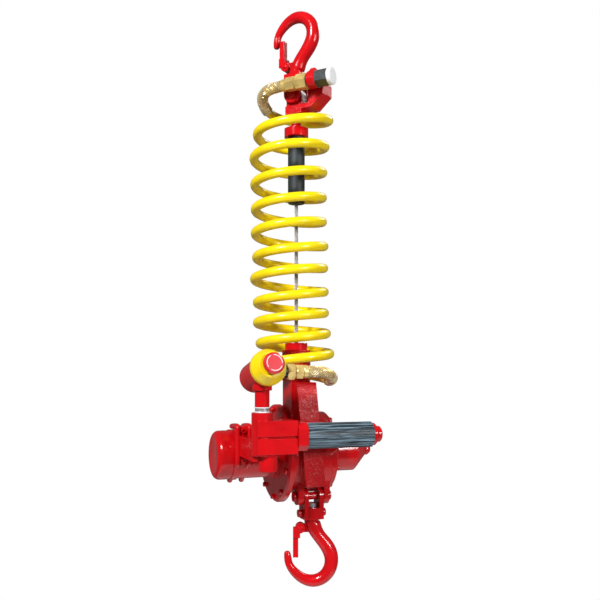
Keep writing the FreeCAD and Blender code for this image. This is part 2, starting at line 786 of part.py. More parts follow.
def motor():
    """Air motor: case with a flat pad for the valve, and its end cap."""
    first = s.shell_left - s.plate_width
    room = s.motor_radius - s.motor_wall
    case = turned("motor_barrel", (
        (room, 0), (s.motor_flange_radius, 0), (s.motor_flange_radius, s.motor_flange),
        (s.motor_radius, s.motor_flange), (s.motor_radius, s.motor_length - s.motor_flange),
        (s.motor_flange_radius - s.side_gap, s.motor_length - s.motor_flange),
        (s.motor_flange_radius - s.side_gap, s.motor_length), (room, s.motor_length),
    ))
    put(case, drum_place(first), 0, AGAINST_X)
    pad_mid = -s.drum_drop + s.motor_pad_rise
    pad = box("motor_pad", (first - s.motor_length, -s.motor_pad, pad_mid - s.motor_pad_half),
              (first, s.motor_pad, pad_mid + s.motor_pad_half))
    room_cut = rod("motor_room", room, s.motor_length, drum_place(first), AGAINST_X)
    node(cut("motor_case", fuse("motor_raw", case, pad), room_cut), "motor_case")
    rim = s.motor_flange_radius - 2 * s.side_gap
    cap = turned("motor_cap", (
        (0, 0), (rim, 0), (rim, s.motor_cap_length - s.motor_cap_round),
        (rim - s.motor_cap_round, s.motor_cap_length), (0, s.motor_cap_length),
    ))
    node(put(cap, drum_place(first - s.motor_length), 0, AGAINST_X), "motor_cap")


def handle_place(x, y=0):
    """A place in the frame of the handle, x out along it from the valve spindle."""
    out, across = spun(size(x), size(y), s.handle_turn)
    return s.valve_x + out, across - s.valve_forward


def valve():
    """Control valve: upright body, web to the motor and the split arm that holds the handle."""
    axis = (s.valve_x, -s.valve_forward)
    mid = -s.handle_drop
    upright = rod("valve_upright", s.valve_radius, s.valve_high + s.valve_low, (*axis, mid - s.valve_low))
    boss = rod("valve_boss", s.valve_boss_radius, 2 * s.valve_boss,
               (s.valve_x + s.valve_boss_side, -s.valve_forward, mid - s.valve_low - s.valve_boss))
    web_mid = -s.drum_drop + s.motor_pad_rise
    web = box("valve_web", (s.valve_x - s.valve_web_half, -s.valve_forward, web_mid - s.valve_web / 2),
              (s.valve_x + s.valve_web_half, -s.motor_pad, web_mid + s.valve_web / 2))
    arms = []
    reach = s.arm_far - s.arm_near
    for name, low, high, thick in (
        ("upper", s.arm_split / 2, s.arm_split / 2 + s.arm_high, s.arm_thick),
        ("lower", -s.arm_split / 2 - s.arm_high, -s.arm_split / 2, s.arm_thick),
        ("core", -s.arm_split, s.arm_split, s.arm_thick - 2 * s.arm_split),
    ):
        bar = doc.addObject("Part::Box", f"{name}_arm")
        bind(bar, Length=reach, Width=thick, Height=high - low)
        arms.append(put(bar, (*handle_place(s.arm_near, -thick / 2), mid + low), s.handle_turn))
    node(fuse("valve_body", upright, boss, web, *arms, refine=False), "valve_body")


# The stop button faces the front and a little up.
STOP_OUT = f"rotation(vector(1; 0; 0); 90 - {s.stop_tilt.text})"
STOP_IN = f"rotation(vector(1; 0; 0); -90 - {s.stop_tilt.text})"


def stop_place(out):
    """A place on the tilted axis of the stop valve, out towards its button."""
    return s.valve_x, -s.valve_forward - out * cos(s.stop_tilt), out * sin(s.stop_tilt) - s.stop_drop


def stop_valve():
    """Emergency stop valve on its column: body, yellow base, red button, ring and hose adapter."""
    x, y = s.valve_x, -s.valve_forward
    ring = turned("column_ring", (
        (0, 0), (s.ring_radius, 0), (s.ring_radius, s.ring_length), (0, s.ring_length),
    ))
    node(put(ring, (x, y, -s.ring_drop)), "column_ring")
    column = rod("valve_column", s.column_radius, s.column_length, (x, y, -s.column_drop))
    node(column, "valve_column")
    foot = s.column_length - s.column_drop
    front = stop_place(s.stop_front)
    rear = stop_place(s.stop_front - s.stop_length)
    barrel = rod("stop_barrel", s.stop_radius, s.stop_length, rear, STOP_OUT)
    socket = rod("stop_socket", s.column_radius + 3 * s.side_gap, -s.stop_drop - foot, (x, y, foot))
    neck_length = s.stop_radius + s.stop_neck
    neck = rod("stop_side", s.column_radius + 2 * s.side_gap, neck_length, (x, y, -s.stop_drop), ALONG_X)
    well_radius = s.button_stem_radius + s.side_gap
    well = rod("stop_well", well_radius, s.button_stem, front, STOP_IN)
    node(cut("stop_body", fuse("stop_raw", barrel, socket, neck), well), "stop_body")
    adapter = rod("lower_hose_adapter", s.adapter_radius, s.adapter_length,
                  (x + s.stop_radius + s.stop_neck, y, -s.stop_drop), ALONG_X)
    node(adapter, "lower_hose_adapter")
    guide = s.button_stem_radius + s.run_gap
    base = turned("stop_base", (
        (guide, 0), (s.stop_base_radius, 0), (s.stop_base_radius, s.stop_rim),
        (s.stop_face_radius, s.stop_base - s.side_gap), (s.stop_face_radius - s.side_gap, s.stop_base),
        (guide, s.stop_base),
    ))
    node(put(base, front, 0, STOP_OUT), "stop_base")
    rise = s.stop_base + s.button_travel + s.yoke_gap
    crown = 2 * s.side_gap
    button = turned("stop_button", (
        (0, s.yoke_gap - s.button_travel / 2), (s.button_stem_radius, s.yoke_gap - s.button_travel / 2),
        (s.button_stem_radius, rise), (s.button_radius, rise),
        (s.button_radius, rise + s.button_head - crown), (s.button_radius - crown, rise + s.button_head),
        (0, rise + s.button_head),
    ))
    node(put(button, front, 0, STOP_OUT), "stop_button")


def handle():
    """Twist handle: square flange and spindle that stay still, ribbed grip and cap that turn."""
    mid = -s.handle_drop
    half, corner = s.flange_side / 2, s.flange_corner
    flange = padded("handle_plate", (
        (-half + corner, -half), (half - corner, -half), (half, -half + corner), (half, half - corner),
        (half - corner, half), (-half + corner, half), (-half, half - corner), (-half, -half + corner),
    ), s.flange_length, "XY_Plane")
    put(flange, (*handle_place(s.arm_far + s.flange_length / 2), mid), s.handle_turn, ALONG_X)
    node(flange, "handle_flange")
    grip_first = s.arm_far + s.flange_length + s.yoke_gap
    spindle = rod("handle_spindle", s.spindle_radius, s.yoke_gap + s.grip_length + s.grip_cap)
    put(spindle, (*handle_place(s.arm_far + s.flange_length), mid), s.handle_turn, ALONG_X)
    node(spindle, "handle_spindle")
    bore = s.spindle_radius + s.run_gap
    grip = turned("grip_rubber", (
        (bore, 0), (s.grip_radius, 0), (s.grip_radius, s.grip_length), (bore, s.grip_length),
    ))
    width = s.grip_rib
    groove_low = s.grip_radius - s.grip_rib
    groove = outline(grip, "grip_groove_outline", "XY_Plane", (
        (groove_low, -width), (s.grip_radius + width, -width),
        (s.grip_radius + width, width), (groove_low, width),
    ))
    pocket = grip.newObject("PartDesign::Pocket", "grip_groove")
    pocket.Profile = groove
    pocket.Reversed = True
    bind(pocket, Length=s.grip_length)
    ribs = grip.newObject("PartDesign::PolarPattern", "grip_ribs")
    ribs.Originals = [pocket]
    axis = [f for f in grip.Origin.OriginFeatures if f.Role == "Z_Axis"][0]
    ribs.Axis = (axis, [""])
    ribs.Angle = 360
    bind(ribs, Occurrences=s.grip_ribs)
    grip.Tip = ribs
    put(grip, (*handle_place(grip_first), mid), s.handle_turn, ALONG_X)
    node(grip, "grip_rubber")
    edge = 2 * s.side_gap
    cap = turned("grip_cap", (
        (bore, 0), (s.grip_cap_radius, 0), (s.grip_cap_radius, s.grip_cap - edge),
        (s.grip_cap_radius - edge, s.grip_cap), (s.grip_nut_radius, s.grip_cap),
        (s.grip_nut_radius, s.grip_cap + s.grip_nut - edge),
        (s.grip_nut_radius - edge, s.grip_cap + s.grip_nut), (0, s.grip_cap + s.grip_nut),
        (0, s.grip_cap + s.yoke_gap), (bore, s.grip_cap + s.yoke_gap),
    ))
    put(cap, (*handle_place(grip_first + s.grip_length), mid), s.handle_turn, ALONG_X)
    node(cap, "grip_cap")


def load_side():
    """Clevis pin, swinging yoke and the swivelling load hook with its nut and latch."""
    x, pin_z = s.load_x, -s.clevis_drop
    span = s.clevis_half_gap + s.clevis_ear
    half = span + s.clevis_head
    pin = turned("clevis_pin", (
        (0, -half), (s.clevis_head_radius, -half), (s.clevis_head_radius, -span),
        (s.clevis_pin_radius, -span), (s.clevis_pin_radius, span),
        (s.clevis_head_radius, span), (s.clevis_head_radius, half), (0, half),
    ))
    node(put(pin, (x, 0, pin_z), 0, ALONG_X), "clevis_pin")
    ear_out = s.clevis_half_gap - s.yoke_gap
    ear_in = ear_out - s.yoke_ear
    base_top = pin_z - s.yoke_base_drop
    base_low = base_top - s.yoke_base
    ears = []
    for name, first in (("left", x - ear_out), ("right", x + ear_in)):
        ears.append(rod(f"{name}_ear_eye", s.yoke_radius, s.yoke_ear, (first, 0, pin_z), ALONG_X))
        ears.append(box(f"{name}_ear", (first, -s.yoke_radius, base_low),
                        (first + s.yoke_ear, s.yoke_radius, pin_z)))
    base = rod("yoke_base", s.yoke_base_radius, s.yoke_base, (x, 0, base_low))
    bore = rod("swivel_bore", s.swivel_radius + s.run_gap, s.yoke_base, (x, 0, base_low))
    hole = rod("yoke_hole", s.clevis_pin_radius + s.run_gap, 2 * ear_out, (x - ear_out, 0, pin_z), ALONG_X)
    node(cut("load_yoke", fuse("yoke_raw", base, *ears), bore, hole), "load_yoke")
    bolts = []
    mid = base_low + s.yoke_base / 2
    for name, first, way in (
        ("left", x - s.yoke_base_radius, AGAINST_X),
        ("right", x + s.yoke_base_radius, ALONG_X),
    ):
        bolts.append(rod(f"{name}_yoke_bolt", s.yoke_bolt_radius, s.yoke_bolt, (first, 0, mid), way))
    node(fuse("yoke_bolts", *bolts), "yoke_bolts")
    nut = turned("hook_nut", (
        (s.swivel_radius + s.run_gap, 0), (s.swivel_nut_radius, 0),
        (s.swivel_nut_radius, s.swivel_nut), (s.swivel_radius + s.run_gap, s.swivel_nut),
    ))
    node(put(nut, (x, 0, base_top + s.yoke_gap)), "hook_nut")
    seat = (x, 0, -s.load_seat_drop)
    forged_hook("load_hook", *swivel_head(), seat, s.load_hook_turn, ALONG_Z)
    latch("load", seat, s.load_hook_turn, ALONG_Z)


def inside():
    """What turns inside: rope drum on its hub, wound rope, bearings, rotor and gear carrier."""
    hub_left = s.shell_left - s.bearing_width / 2
    hub_right = s.shell_right + s.bearing_width
    left, right = s.drum_left, s.drum_left + s.drum_width
    rim_right = right + s.drum_flange / 2
    shaft_bore = s.motor_shaft + s.rope_gap
    drum = turned("rope_drum", (
        (shaft_bore, hub_left), (s.shaft_radius, hub_left), (s.shaft_radius, left - s.drum_flange),
        (s.drum_flange_radius, left - s.drum_flange), (s.drum_flange_radius, left), (s.drum_radius, left),
        (s.drum_radius, right), (s.drum_flange_radius, right), (s.drum_flange_radius, rim_right),
        (s.shaft_radius, rim_right), (s.shaft_radius, hub_right), (shaft_bore, hub_right),
    ))
    node(put(drum, drum_place(0), 0, ALONG_X), "rope_drum")
    wrap_left = s.rope_radius + s.rope_gap
    wrap_right = right - s.side_gap
    wrap_inner = s.drum_radius + s.run_gap
    wrap_outer = s.drum_radius + 2 * s.rope_radius
    wraps = turned("rope_wraps", (
        (wrap_inner, wrap_left), (wrap_outer, wrap_left), (wrap_outer, wrap_right), (wrap_inner, wrap_right),
    ))
    node(put(wraps, drum_place(0), 0, ALONG_X), "rope_wraps")
    race = s.shaft_radius + s.run_gap
    rim = s.bearing_radius - s.run_gap
    half = s.bearing_width / 2
    for name, first, way in (("left", s.shell_left, AGAINST_X), ("right", s.shell_right, ALONG_X)):
        bearing = turned(f"drum_bearing_{name}", (
            (race, -half), (rim, -half), (rim, half), (race, half),
        ))
        node(put(bearing, drum_place(first), 0, way), f"drum_bearing_{name}")
    motor_first = s.shell_left - s.plate_width
    rotor_gap = (s.motor_length - s.rotor_length) / 2
    rotor_left = motor_first - rotor_gap - s.rotor_length
    shaft_right = s.shell_right + s.bearing_width + s.carrier_length
    rotor = turned("motor_rotor", (
        (0, rotor_left), (s.rotor_radius, rotor_left), (s.rotor_radius, rotor_left + s.rotor_length),
        (s.motor_shaft, rotor_left + s.rotor_length), (s.motor_shaft, shaft_right), (0, shaft_right),
    ))
    node(put(rotor, drum_place(0), 0, ALONG_X), "motor_rotor")
    carrier_right = hub_right + s.carrier_length - s.gear_wall
    carrier = turned("planet_carrier", (
        (shaft_bore, hub_right), (s.carrier_radius, hub_right), (s.carrier_radius, carrier_right),
        (shaft_bore, carrier_right),
    ))
    node(put(carrier, drum_place(0), 0, ALONG_X), "planet_carrier")


def write_parts():
    """Checks every object, then writes each sub-part to its own file."""
    doc.recompute()
    for obj in doc.Objects:
        if {"Invalid", "Error"} & set(obj.State):
            raise RuntimeError(f"{obj.Label} failed: {obj.State}")
    for obj in NODES:
        if obj.Shape.isNull() or not obj.Shape.isValid():
            raise RuntimeError(f"{obj.Label} has no valid shape")
    os.makedirs("parts", exist_ok=True)
    for obj in NODES:
        obj.Shape.exportStep(f"parts/{obj.Label}.step")


top_hook()
hanger_block()
air_inlet()
hose()
rope()
frame()
covers()
motor()
valve()
stop_valve()
handle()
load_side()
inside()
write_parts()
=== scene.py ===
"""Looks of a hanging air balancer: paint, curly hose, braided sleeves, wire rope and small fasteners."""

import json
import math

import bpy
from mathutils import Matrix, Vector


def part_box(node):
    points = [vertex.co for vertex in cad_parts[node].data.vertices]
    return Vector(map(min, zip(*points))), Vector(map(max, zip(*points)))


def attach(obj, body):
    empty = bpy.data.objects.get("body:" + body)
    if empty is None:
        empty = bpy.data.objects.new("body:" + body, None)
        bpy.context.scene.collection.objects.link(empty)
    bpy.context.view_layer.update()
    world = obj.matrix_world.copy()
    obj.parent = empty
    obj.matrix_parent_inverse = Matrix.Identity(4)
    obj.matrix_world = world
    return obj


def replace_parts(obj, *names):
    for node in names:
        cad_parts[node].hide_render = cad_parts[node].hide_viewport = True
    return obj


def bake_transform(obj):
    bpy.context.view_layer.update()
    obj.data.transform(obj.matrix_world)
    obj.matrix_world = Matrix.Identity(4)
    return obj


bl_info = {
    "name": "Air balancer looks",
    "version": (1, 0, 0),
    "blender": (4, 5, 0),
    "location": "View3D > Sidebar > Balancer",
    "description": "Dresses the packed frame of an air balancer with materials and fine pieces",
    "category": "Object",
}

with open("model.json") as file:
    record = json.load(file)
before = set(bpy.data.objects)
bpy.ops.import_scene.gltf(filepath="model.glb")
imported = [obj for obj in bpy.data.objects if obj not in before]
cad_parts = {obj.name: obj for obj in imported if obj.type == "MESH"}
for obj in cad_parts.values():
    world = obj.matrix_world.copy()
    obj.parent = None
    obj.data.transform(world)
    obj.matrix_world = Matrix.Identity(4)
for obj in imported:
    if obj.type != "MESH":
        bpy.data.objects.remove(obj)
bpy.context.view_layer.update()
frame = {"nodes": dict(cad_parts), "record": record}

# Routes of the hose leads, in metres, each from its brass ferrule to the coil.
UPPER_ROUTE = (
    (-0.006, -0.026, -0.096), (-0.020, -0.026, -0.096), (-0.035, -0.024, -0.098),
    (-0.046, -0.016, -0.103), (-0.050, -0.006, -0.1095), (-0.048, 0.002, -0.1178),
)
LOWER_ROUTE = (
    (-0.012, -0.072, 0.0), (0.002, -0.072, 0.0), (0.018, -0.065, -0.003),
    (0.031, -0.050, -0.007), (0.039, -0.030, -0.011), (0.0435, -0.008, -0.013),
)
# Turns of the coil where each passes the front: height, shift across the view and radius, in metres.
COIL_FRONTS = (
    (-0.1506, -0.0046, 0.0474), (-0.1834, -0.0100, 0.0482), (-0.2200, -0.0107, 0.0464),
    (-0.2544, -0.0100, 0.0456), (-0.2873, -0.0106, 0.0461), (-0.3207, -0.0072, 0.0453),
    (-0.3494, -0.0105, 0.0472), (-0.3824, -0.0071, 0.0451), (-0.4095, -0.0077, 0.0456),
    (-0.4372, -0.0037, 0.0450), (-0.4640, -0.0010, 0.0470),
)

# Pins with riveted ends, and the joints that turn on them.
PINS = {
    "hanger_pin": "hanger_swing",
    "top_latch_pin": "top_latch_open",
    "load_latch_pin": "load_latch_open",
}

# All lengths below are in metres.
# Motor pad: its screws' heights and distances from the case's two ends, its lower and upper edge, and the
# places of the bands as shares of the case's length.
PAD_SCREWS = (-0.5565, -0.5945)
PAD_INSETS = (0.009, 0.008)
PAD_HEIGHTS = (-0.6, -0.551)
PAD_DEPTH = 0.012
PAD_CORNER = 0.004
BAND_START = (0.01, 0.002)
BAND_PLACES = (0.03, 0.28)

# Screws on the drum's covers: node, way that they face along the axis, circle's radius and how many.
COVER_SCREWS = (("side_plate", -1, 0.058, 10), ("gear_cover", 1, 0.047, 8))

# Brass hose ends: crimped mouth and its collar, groove before the nut, and the black seal behind it.
CRIMP_LENGTH = 0.006
CRIMP_MOUTH = 0.0076
CRIMP_RADIUS = 0.0083
CRIMP_CHAMFERS = (0.0006, 0.0012)
CRIMP_NECK = 0.0074
GROOVE_LENGTH = 0.0015
GROOVE_RADIUS = 0.0072
SEAL_LENGTH = 0.003
SEAL_RADIUS = 0.0082

# Threads: steps in a turn, the socket's length, radius and pitch, and the nipple's pitch and seals.
THREAD_STEPS = 20
SOCKET_THREAD = (0.0178, 0.0065, 0.0019)
NIPPLE_PITCH = 0.0017
NIPPLE_INSET = 0.0014
NIPPLE_SEAL = 0.0016
NIPPLE_RIM = 0.0012
NIPPLE_CHAMFER = 0.0004

# Turning marks on the stop button: how many, the share of the circle they cover, points and wire radius.
MARK_COUNT = 3
MARK_SHARE = 0.78
MARK_STEPS = 12
MARK_WIRE = 0.0005

# Motor cap: steps round its rim, and the dish in its face, deep and inside the rim.
RIM_STEPS = 8
DISH_DEPTH = 0.0006
DISH_STEP = 0.0022

# Edges sharper than this stay sharp on the added pieces; paint rounds the castings' corners to a radius.
SHARP_EDGE = math.radians(28)
EDGE_ROUND = 0.0014

# A stretched hose keeps this share of its radius in the mesh; it thins over so many rings, which end
# this many up a sleeve.
THIN_SHARE = 0.06
EASE_RINGS = 20
HIDDEN_RINGS = 4

# Points that a smooth line gets between two control points.
HOSE_SMOOTHNESS = 6
BAND_SMOOTHNESS = 5

FLOOR_SIDES = 96
# Soft lamps: name, place from the aimed point as the camera sees it, width and power in watts.
LAMPS = (
    ("key_lamp", (-1.0, 1.4, 1.6), 0.4, 76.0),
    ("fill_lamp", (1.6, 0.5, 1.5), 0.4, 30.0),
    ("rim_lamp", (1.2, 1.2, -1.4), 0.6, 12.0),
)


class BalancerSizes(bpy.types.PropertyGroup):
    """Sizes of the pieces that are added to the frame."""

    hose_diameter: bpy.props.FloatProperty(
        name="Hose diameter", description="Outside of the curly hose", default=0.0125, unit="LENGTH")
    turn_points: bpy.props.IntProperty(
        name="Points per turn", description="Control points on one turn of the coil", default=16)
    sleeve_diameter: bpy.props.FloatProperty(
        name="Sleeve diameter", description="Outside of the braided sleeves", default=0.0144, unit="LENGTH")
    upper_turn: bpy.props.FloatProperty(
        name="Upper turn", description="Turn of the top hook about the rope", default=math.radians(-50),
        subtype="ANGLE")
    stop_height: bpy.props.FloatProperty(
        name="Stop height", description="Axis of the stop valve", default=-0.48042, unit="LENGTH")
    braid_wire: bpy.props.FloatProperty(
        name="Braid wire", description="Radius of a wire of the braid", default=0.0006, unit="LENGTH")
    braid_lay: bpy.props.FloatProperty(
        name="Braid lay", description="Length of one turn of a braid wire", default=0.036, unit="LENGTH")
    braid_count: bpy.props.IntProperty(
        name="Braid wires", description="Wires that wind each way", default=12)
    stop_tilt: bpy.props.FloatProperty(
        name="Stop tilt", description="How far the stop button looks up", default=math.radians(13),
        subtype="ANGLE")
    button_face: bpy.props.FloatProperty(
        name="Button face", description="Face of the button from the middle of the stop valve",
        default=0.0505, unit="LENGTH")
    mark_radius: bpy.props.FloatProperty(
        name="Mark radius", description="Turning marks on the button", default=0.0094, unit="LENGTH")
    upper_ferrule: bpy.props.FloatProperty(
        name="Upper ferrule", description="Length of the upper ferrule", default=0.022, unit="LENGTH")
    upper_nut: bpy.props.FloatProperty(
        name="Upper nut", description="Length of the upper hose nut", default=0.020, unit="LENGTH")
    lower_ferrule: bpy.props.FloatProperty(
        name="Lower ferrule", description="Length of the lower ferrule", default=0.017, unit="LENGTH")
    lower_nut: bpy.props.FloatProperty(
        name="Lower nut", description="Length of the lower hose nut", default=0.013, unit="LENGTH")
    ferrule_flats: bpy.props.FloatProperty(
        name="Ferrule flats", description="Ferrule across its flats", default=0.017, unit="LENGTH")
    nut_flats: bpy.props.FloatProperty(
        name="Nut flats", description="Hose nut across its flats", default=0.0195, unit="LENGTH")
    cap_rim: bpy.props.FloatProperty(
        name="Cap rim", description="Rounding of the motor cap's rim", default=0.008, unit="LENGTH")
    band_diameter: bpy.props.FloatProperty(
        name="Motor bands", description="Thickness of the bands on the motor case", default=0.007,
        unit="LENGTH")
    screw_diameter: bpy.props.FloatProperty(
        name="Screw heads", description="Outside of the screw heads", default=0.0068, unit="LENGTH")
    screw_height: bpy.props.FloatProperty(
        name="Screw height", description="How far the screw heads stand up", default=0.0036, unit="LENGTH")
    gear_dome: bpy.props.FloatProperty(
        name="Gear dome", description="Gear cover beyond its flange", default=0.068, unit="LENGTH")
    collar_height: bpy.props.FloatProperty(
        name="Collar height", description="Collar of the rope socket", default=0.012, unit="LENGTH")
    rope_strands: bpy.props.IntProperty(
        name="Rope strands", description="Strands laid up into the rope", default=6)
    rope_lay: bpy.props.FloatProperty(
        name="Rope lay", description="Length in which a strand goes once round", default=0.032,
        unit="LENGTH")


class BalancerColours(bpy.types.PropertyGroup):
    """Colours of the finishes."""

    red_paint: bpy.props.FloatVectorProperty(
        name="Red paint", description="Enamel on castings and forgings", default=(0.53, 0.003, 0.006),
        subtype="COLOR")
    yellow_hose: bpy.props.FloatVectorProperty(
        name="Yellow hose", description="Polyurethane hose", default=(0.86, 0.64, 0.002), subtype="COLOR")
    yellow_plastic: bpy.props.FloatVectorProperty(
        name="Yellow plastic", description="Base of the stop button", default=(0.86, 0.62, 0.002),
        subtype="COLOR")
    red_plastic: bpy.props.FloatVectorProperty(
        name="Red plastic", description="Stop button", default=(0.55, 0.01, 0.02), subtype="COLOR")
    brass: bpy.props.FloatVectorProperty(
        name="Brass", description="Hose nuts and braid", default=(0.8, 0.58, 0.2), subtype="COLOR")
    steel: bpy.props.FloatVectorProperty(
        name="Steel", description="Rope, rings and pins", default=(0.56, 0.57, 0.6), subtype="COLOR")
    black_rubber: bpy.props.FloatVectorProperty(
        name="Black rubber", description="Rope stop and inlet", default=(0.009, 0.013, 0.016),
        subtype="COLOR")
    grip_rubber: bpy.props.FloatVectorProperty(
        name="Grip rubber", description="Ribbed hand grip", default=(0.085, 0.125, 0.155), subtype="COLOR")
    white_plastic: bpy.props.FloatVectorProperty(
        name="White plastic", description="Dust cap of the air inlet", default=(0.8, 0.8, 0.8),
        subtype="COLOR")


class BalancerView(bpy.types.PropertyGroup):
    """Camera and room."""

    turn: bpy.props.FloatProperty(
        name="Turn", description="Camera's place round the part", default=math.radians(-20),
        subtype="ANGLE")
    height: bpy.props.FloatProperty(
        name="Height", description="Camera's height in the frame", default=-0.4681, unit="LENGTH")
    distance: bpy.props.FloatProperty(
        name="Distance", description="Camera to the rope", default=1.05, unit="LENGTH")
    lens: bpy.props.FloatProperty(name="Lens", description="Focal length in millimetres", default=46.84)
    aim_height: bpy.props.FloatProperty(
        name="Aim height", description="Point on the rope that it looks at", default=-0.3851, unit="LENGTH")
    aim_side: bpy.props.FloatProperty(
        name="Aim side", description="How far right of the rope it looks", default=0.005, unit="LENGTH")
    floor_height: bpy.props.FloatProperty(
        name="Floor height", description="Floor under the lowest reach of the hook", default=-1.4,
        unit="LENGTH")
    floor_radius: bpy.props.FloatProperty(
        name="Floor radius", description="Size of the floor", default=1.0, unit="LENGTH")
    room_light: bpy.props.FloatProperty(
        name="Room light", description="Brightness of the room", default=0.15)


class Field:
    """A shader socket that takes part in arithmetic."""

    def __init__(self, finish, socket):
        self.finish = finish
        self.socket = socket

    def maths(self, operation, first, second):
        made = self.finish.node("ShaderNodeMath", {"operation": operation}, {0: first, 1: second})
        return made["Value"]

    def __add__(self, other):
        return self.maths("ADD", self, other)

    def __radd__(self, other):
        return self.maths("ADD", other, self)

    def __mul__(self, other):
        return self.maths("MULTIPLY", self, other)

    def __rmul__(self, other):
        return self.maths("MULTIPLY", other, self)

    def sine(self):
        return self.maths("SINE", self, 0.0)

    def ramp(self, low, high):
        """0 below low, 1 above high and smooth between them."""
        made = self.finish.node(
            "ShaderNodeMapRange", {"interpolation_type": "SMOOTHSTEP"}, {0: self, 1: low, 2: high})
        return made["Result"]


class Finish:
    """One material and the ways to add nodes to it."""

    def __init__(self, name, **constants):
        self.material = bpy.data.materials.new(name)
        self.material.use_nodes = True
        self.tree = self.material.node_tree
        self.surface = self.tree.nodes["Principled BSDF"]
        for socket, value in constants.items():
            self.surface.inputs[socket.replace("_", " ")].default_value = value

    def node(self, kind, settings=None, inputs=None):
        """Adds a node, sets it up and returns its outputs by name."""
        made = self.tree.nodes.new(kind)
        for name, value in (settings or {}).items():
            setattr(made, name, value)
        for name, value in (inputs or {}).items():
            self.feed(made.inputs[name], value)
        return {out.name: Field(self, out) for out in made.outputs if out.enabled}

    def feed(self, socket, value):
        """Links a field to a socket, or writes a constant into it."""
        if isinstance(value, Field):
            self.tree.links.new(value.socket, socket)
        else:
            socket.default_value = value

    def place(self):
        """Place on the piece at rest, in metres."""
        return self.node("ShaderNodeTexCoord")["Object"]

    def noise(self, scale, detail=3.0, roughness=0.5, at=None):
        made = self.node(
            "ShaderNodeTexNoise", None,
            {"Vector": at or self.place(), "Scale": scale, "Detail": detail, "Roughness": roughness})
        return made["Fac"]

    def mix(self, share, first, second):
        """A colour between two, by a share from 0 to 1."""
        made = self.node("ShaderNodeMix", {"data_type": "RGBA"}, {0: share, 6: first, 7: second})
        return made["Result"]

    def bump(self, height, distance, edge=0.0):
        """Relief of the surface; an edge radius also rounds the look of its corners."""
        inputs = {"Height": height, "Distance": distance}
        if edge:
            inputs["Normal"] = self.node("ShaderNodeBevel", {"samples": 4}, {"Radius": edge})["Normal"]
        self.feed(self.surface.inputs["Normal"], self.node("ShaderNodeBump", None, inputs)["Normal"])

    def set(self, socket, value):
        self.feed(self.surface.inputs[socket], value)


def shade(colour, factor):
    """A colour made darker or lighter, with its alpha."""
    return (*(min(1.0, c * factor) for c in colour), 1.0)


def red_paint(name, grain, depth):
    """Glossy red enamel; the metal under it shows through as a grain, so many to the metre and so deep."""
    colour = bpy.context.scene.balancer_colours.red_paint
    finish = Finish(name, Specular_IOR_Level=0.34, Coat_Roughness=0.04)
    flow = finish.noise(38.0, 2.0)
    skin = finish.noise(grain, 4.0, 0.6)
    finish.set("Base Color", finish.mix(flow.ramp(0.3, 0.7), shade(colour, 0.86), shade(colour, 1.02)))
    finish.set("Roughness", 0.08 + skin * 0.14)
    finish.set("Coat Weight", flow * 0.12)
    finish.bump(skin + finish.noise(grain / 6, 2.0), depth, edge=EDGE_ROUND)
    return finish.material


def cast_paint():
    return red_paint("cast_paint", 380.0, 0.0006)


def forged_paint():
    return red_paint("forged_paint", 170.0, 0.0004)


def machined_paint():
    return red_paint("machined_paint", 300.0, 0.0001)


def hose_plastic():
    """Glossy yellow polyurethane."""
    colour = bpy.context.scene.balancer_colours.yellow_hose
    finish = Finish("hose_plastic", Specular_IOR_Level=0.35, Coat_Roughness=0.05)
    flow = finish.noise(60.0, 2.0)
    finish.set("Base Color", finish.mix(flow.ramp(0.3, 0.7), shade(colour, 0.92), shade(colour, 1.04)))
    finish.set("Roughness", 0.24 + finish.noise(700.0) * 0.12)
    finish.set("Coat Weight", 0.1 + flow * 0.2)
    finish.bump(finish.noise(240.0, 2.0), 0.0002)
    return finish.material


def gloss_plastic(name, colour):
    """Moulded plastic with a faint flow pattern."""
    finish = Finish(name, Coat_Weight=0.2, Coat_Roughness=0.06)
    flow = finish.noise(90.0, 2.0)
    finish.set("Base Color", finish.mix(flow, shade(colour, 0.9), shade(colour, 1.05)))
    finish.set("Roughness", 0.22 + finish.noise(900.0) * 0.12)
    finish.bump(finish.noise(1500.0, 2.0), 0.00005)
    return finish.material


def base_plastic():
    return gloss_plastic("base_plastic", bpy.context.scene.balancer_colours.yellow_plastic)


def button_plastic():
    return gloss_plastic("button_plastic", bpy.context.scene.balancer_colours.red_plastic)


def cap_plastic():
    return gloss_plastic("cap_plastic", bpy.context.scene.balancer_colours.white_plastic)


def metal(name, colour, metallic, roughness, grain):
    """Bare metal with fine tool marks and some dulling."""
    finish = Finish(name, Metallic=metallic)
    marks = finish.noise(grain, 3.0)
    dull = finish.noise(70.0, 3.0)
    finish.set("Base Color", finish.mix(dull.ramp(0.35, 0.7), shade(colour, 1.1), shade(colour, 0.72)))
    finish.set("Roughness", roughness + marks * 0.08 + dull * 0.08)
    finish.bump(marks, 0.00001)
    return finish.material


def polished_brass():
    return metal("polished_brass", bpy.context.scene.balancer_colours.brass, 0.45, 0.22, 300.0)


def bright_steel():
    return metal("bright_steel", bpy.context.scene.balancer_colours.steel, 0.8, 0.2, 1100.0)


def rope_wire():
    """Bright galvanised wire; each strand shows its own fine wires, the grooves between them darkened as
    painted shade.
    """
    colour = bpy.context.scene.balancer_colours.steel
    finish = Finish("rope_wire", Metallic=0.4)
    across = finish.node("ShaderNodeSeparateXYZ", None, {0: finish.node("ShaderNodeUVMap")["UV"]})
    wires = (across["X"] * 44.0 + across["Y"] * 5200.0).sine()
    # Painted shade: where the wave dips, the grooves between the fine wires are darkened to 0.3 of the steel
    # colour; the wire crowns take 1.5 of it.
    finish.set("Base Color", finish.mix(wires.ramp(-0.8, 0.2), shade(colour, 0.3), shade(colour, 1.5)))
    finish.set("Roughness", 0.3 + finish.noise(300.0) * 0.2)
    finish.bump(wires, 0.0002)
    return finish.material


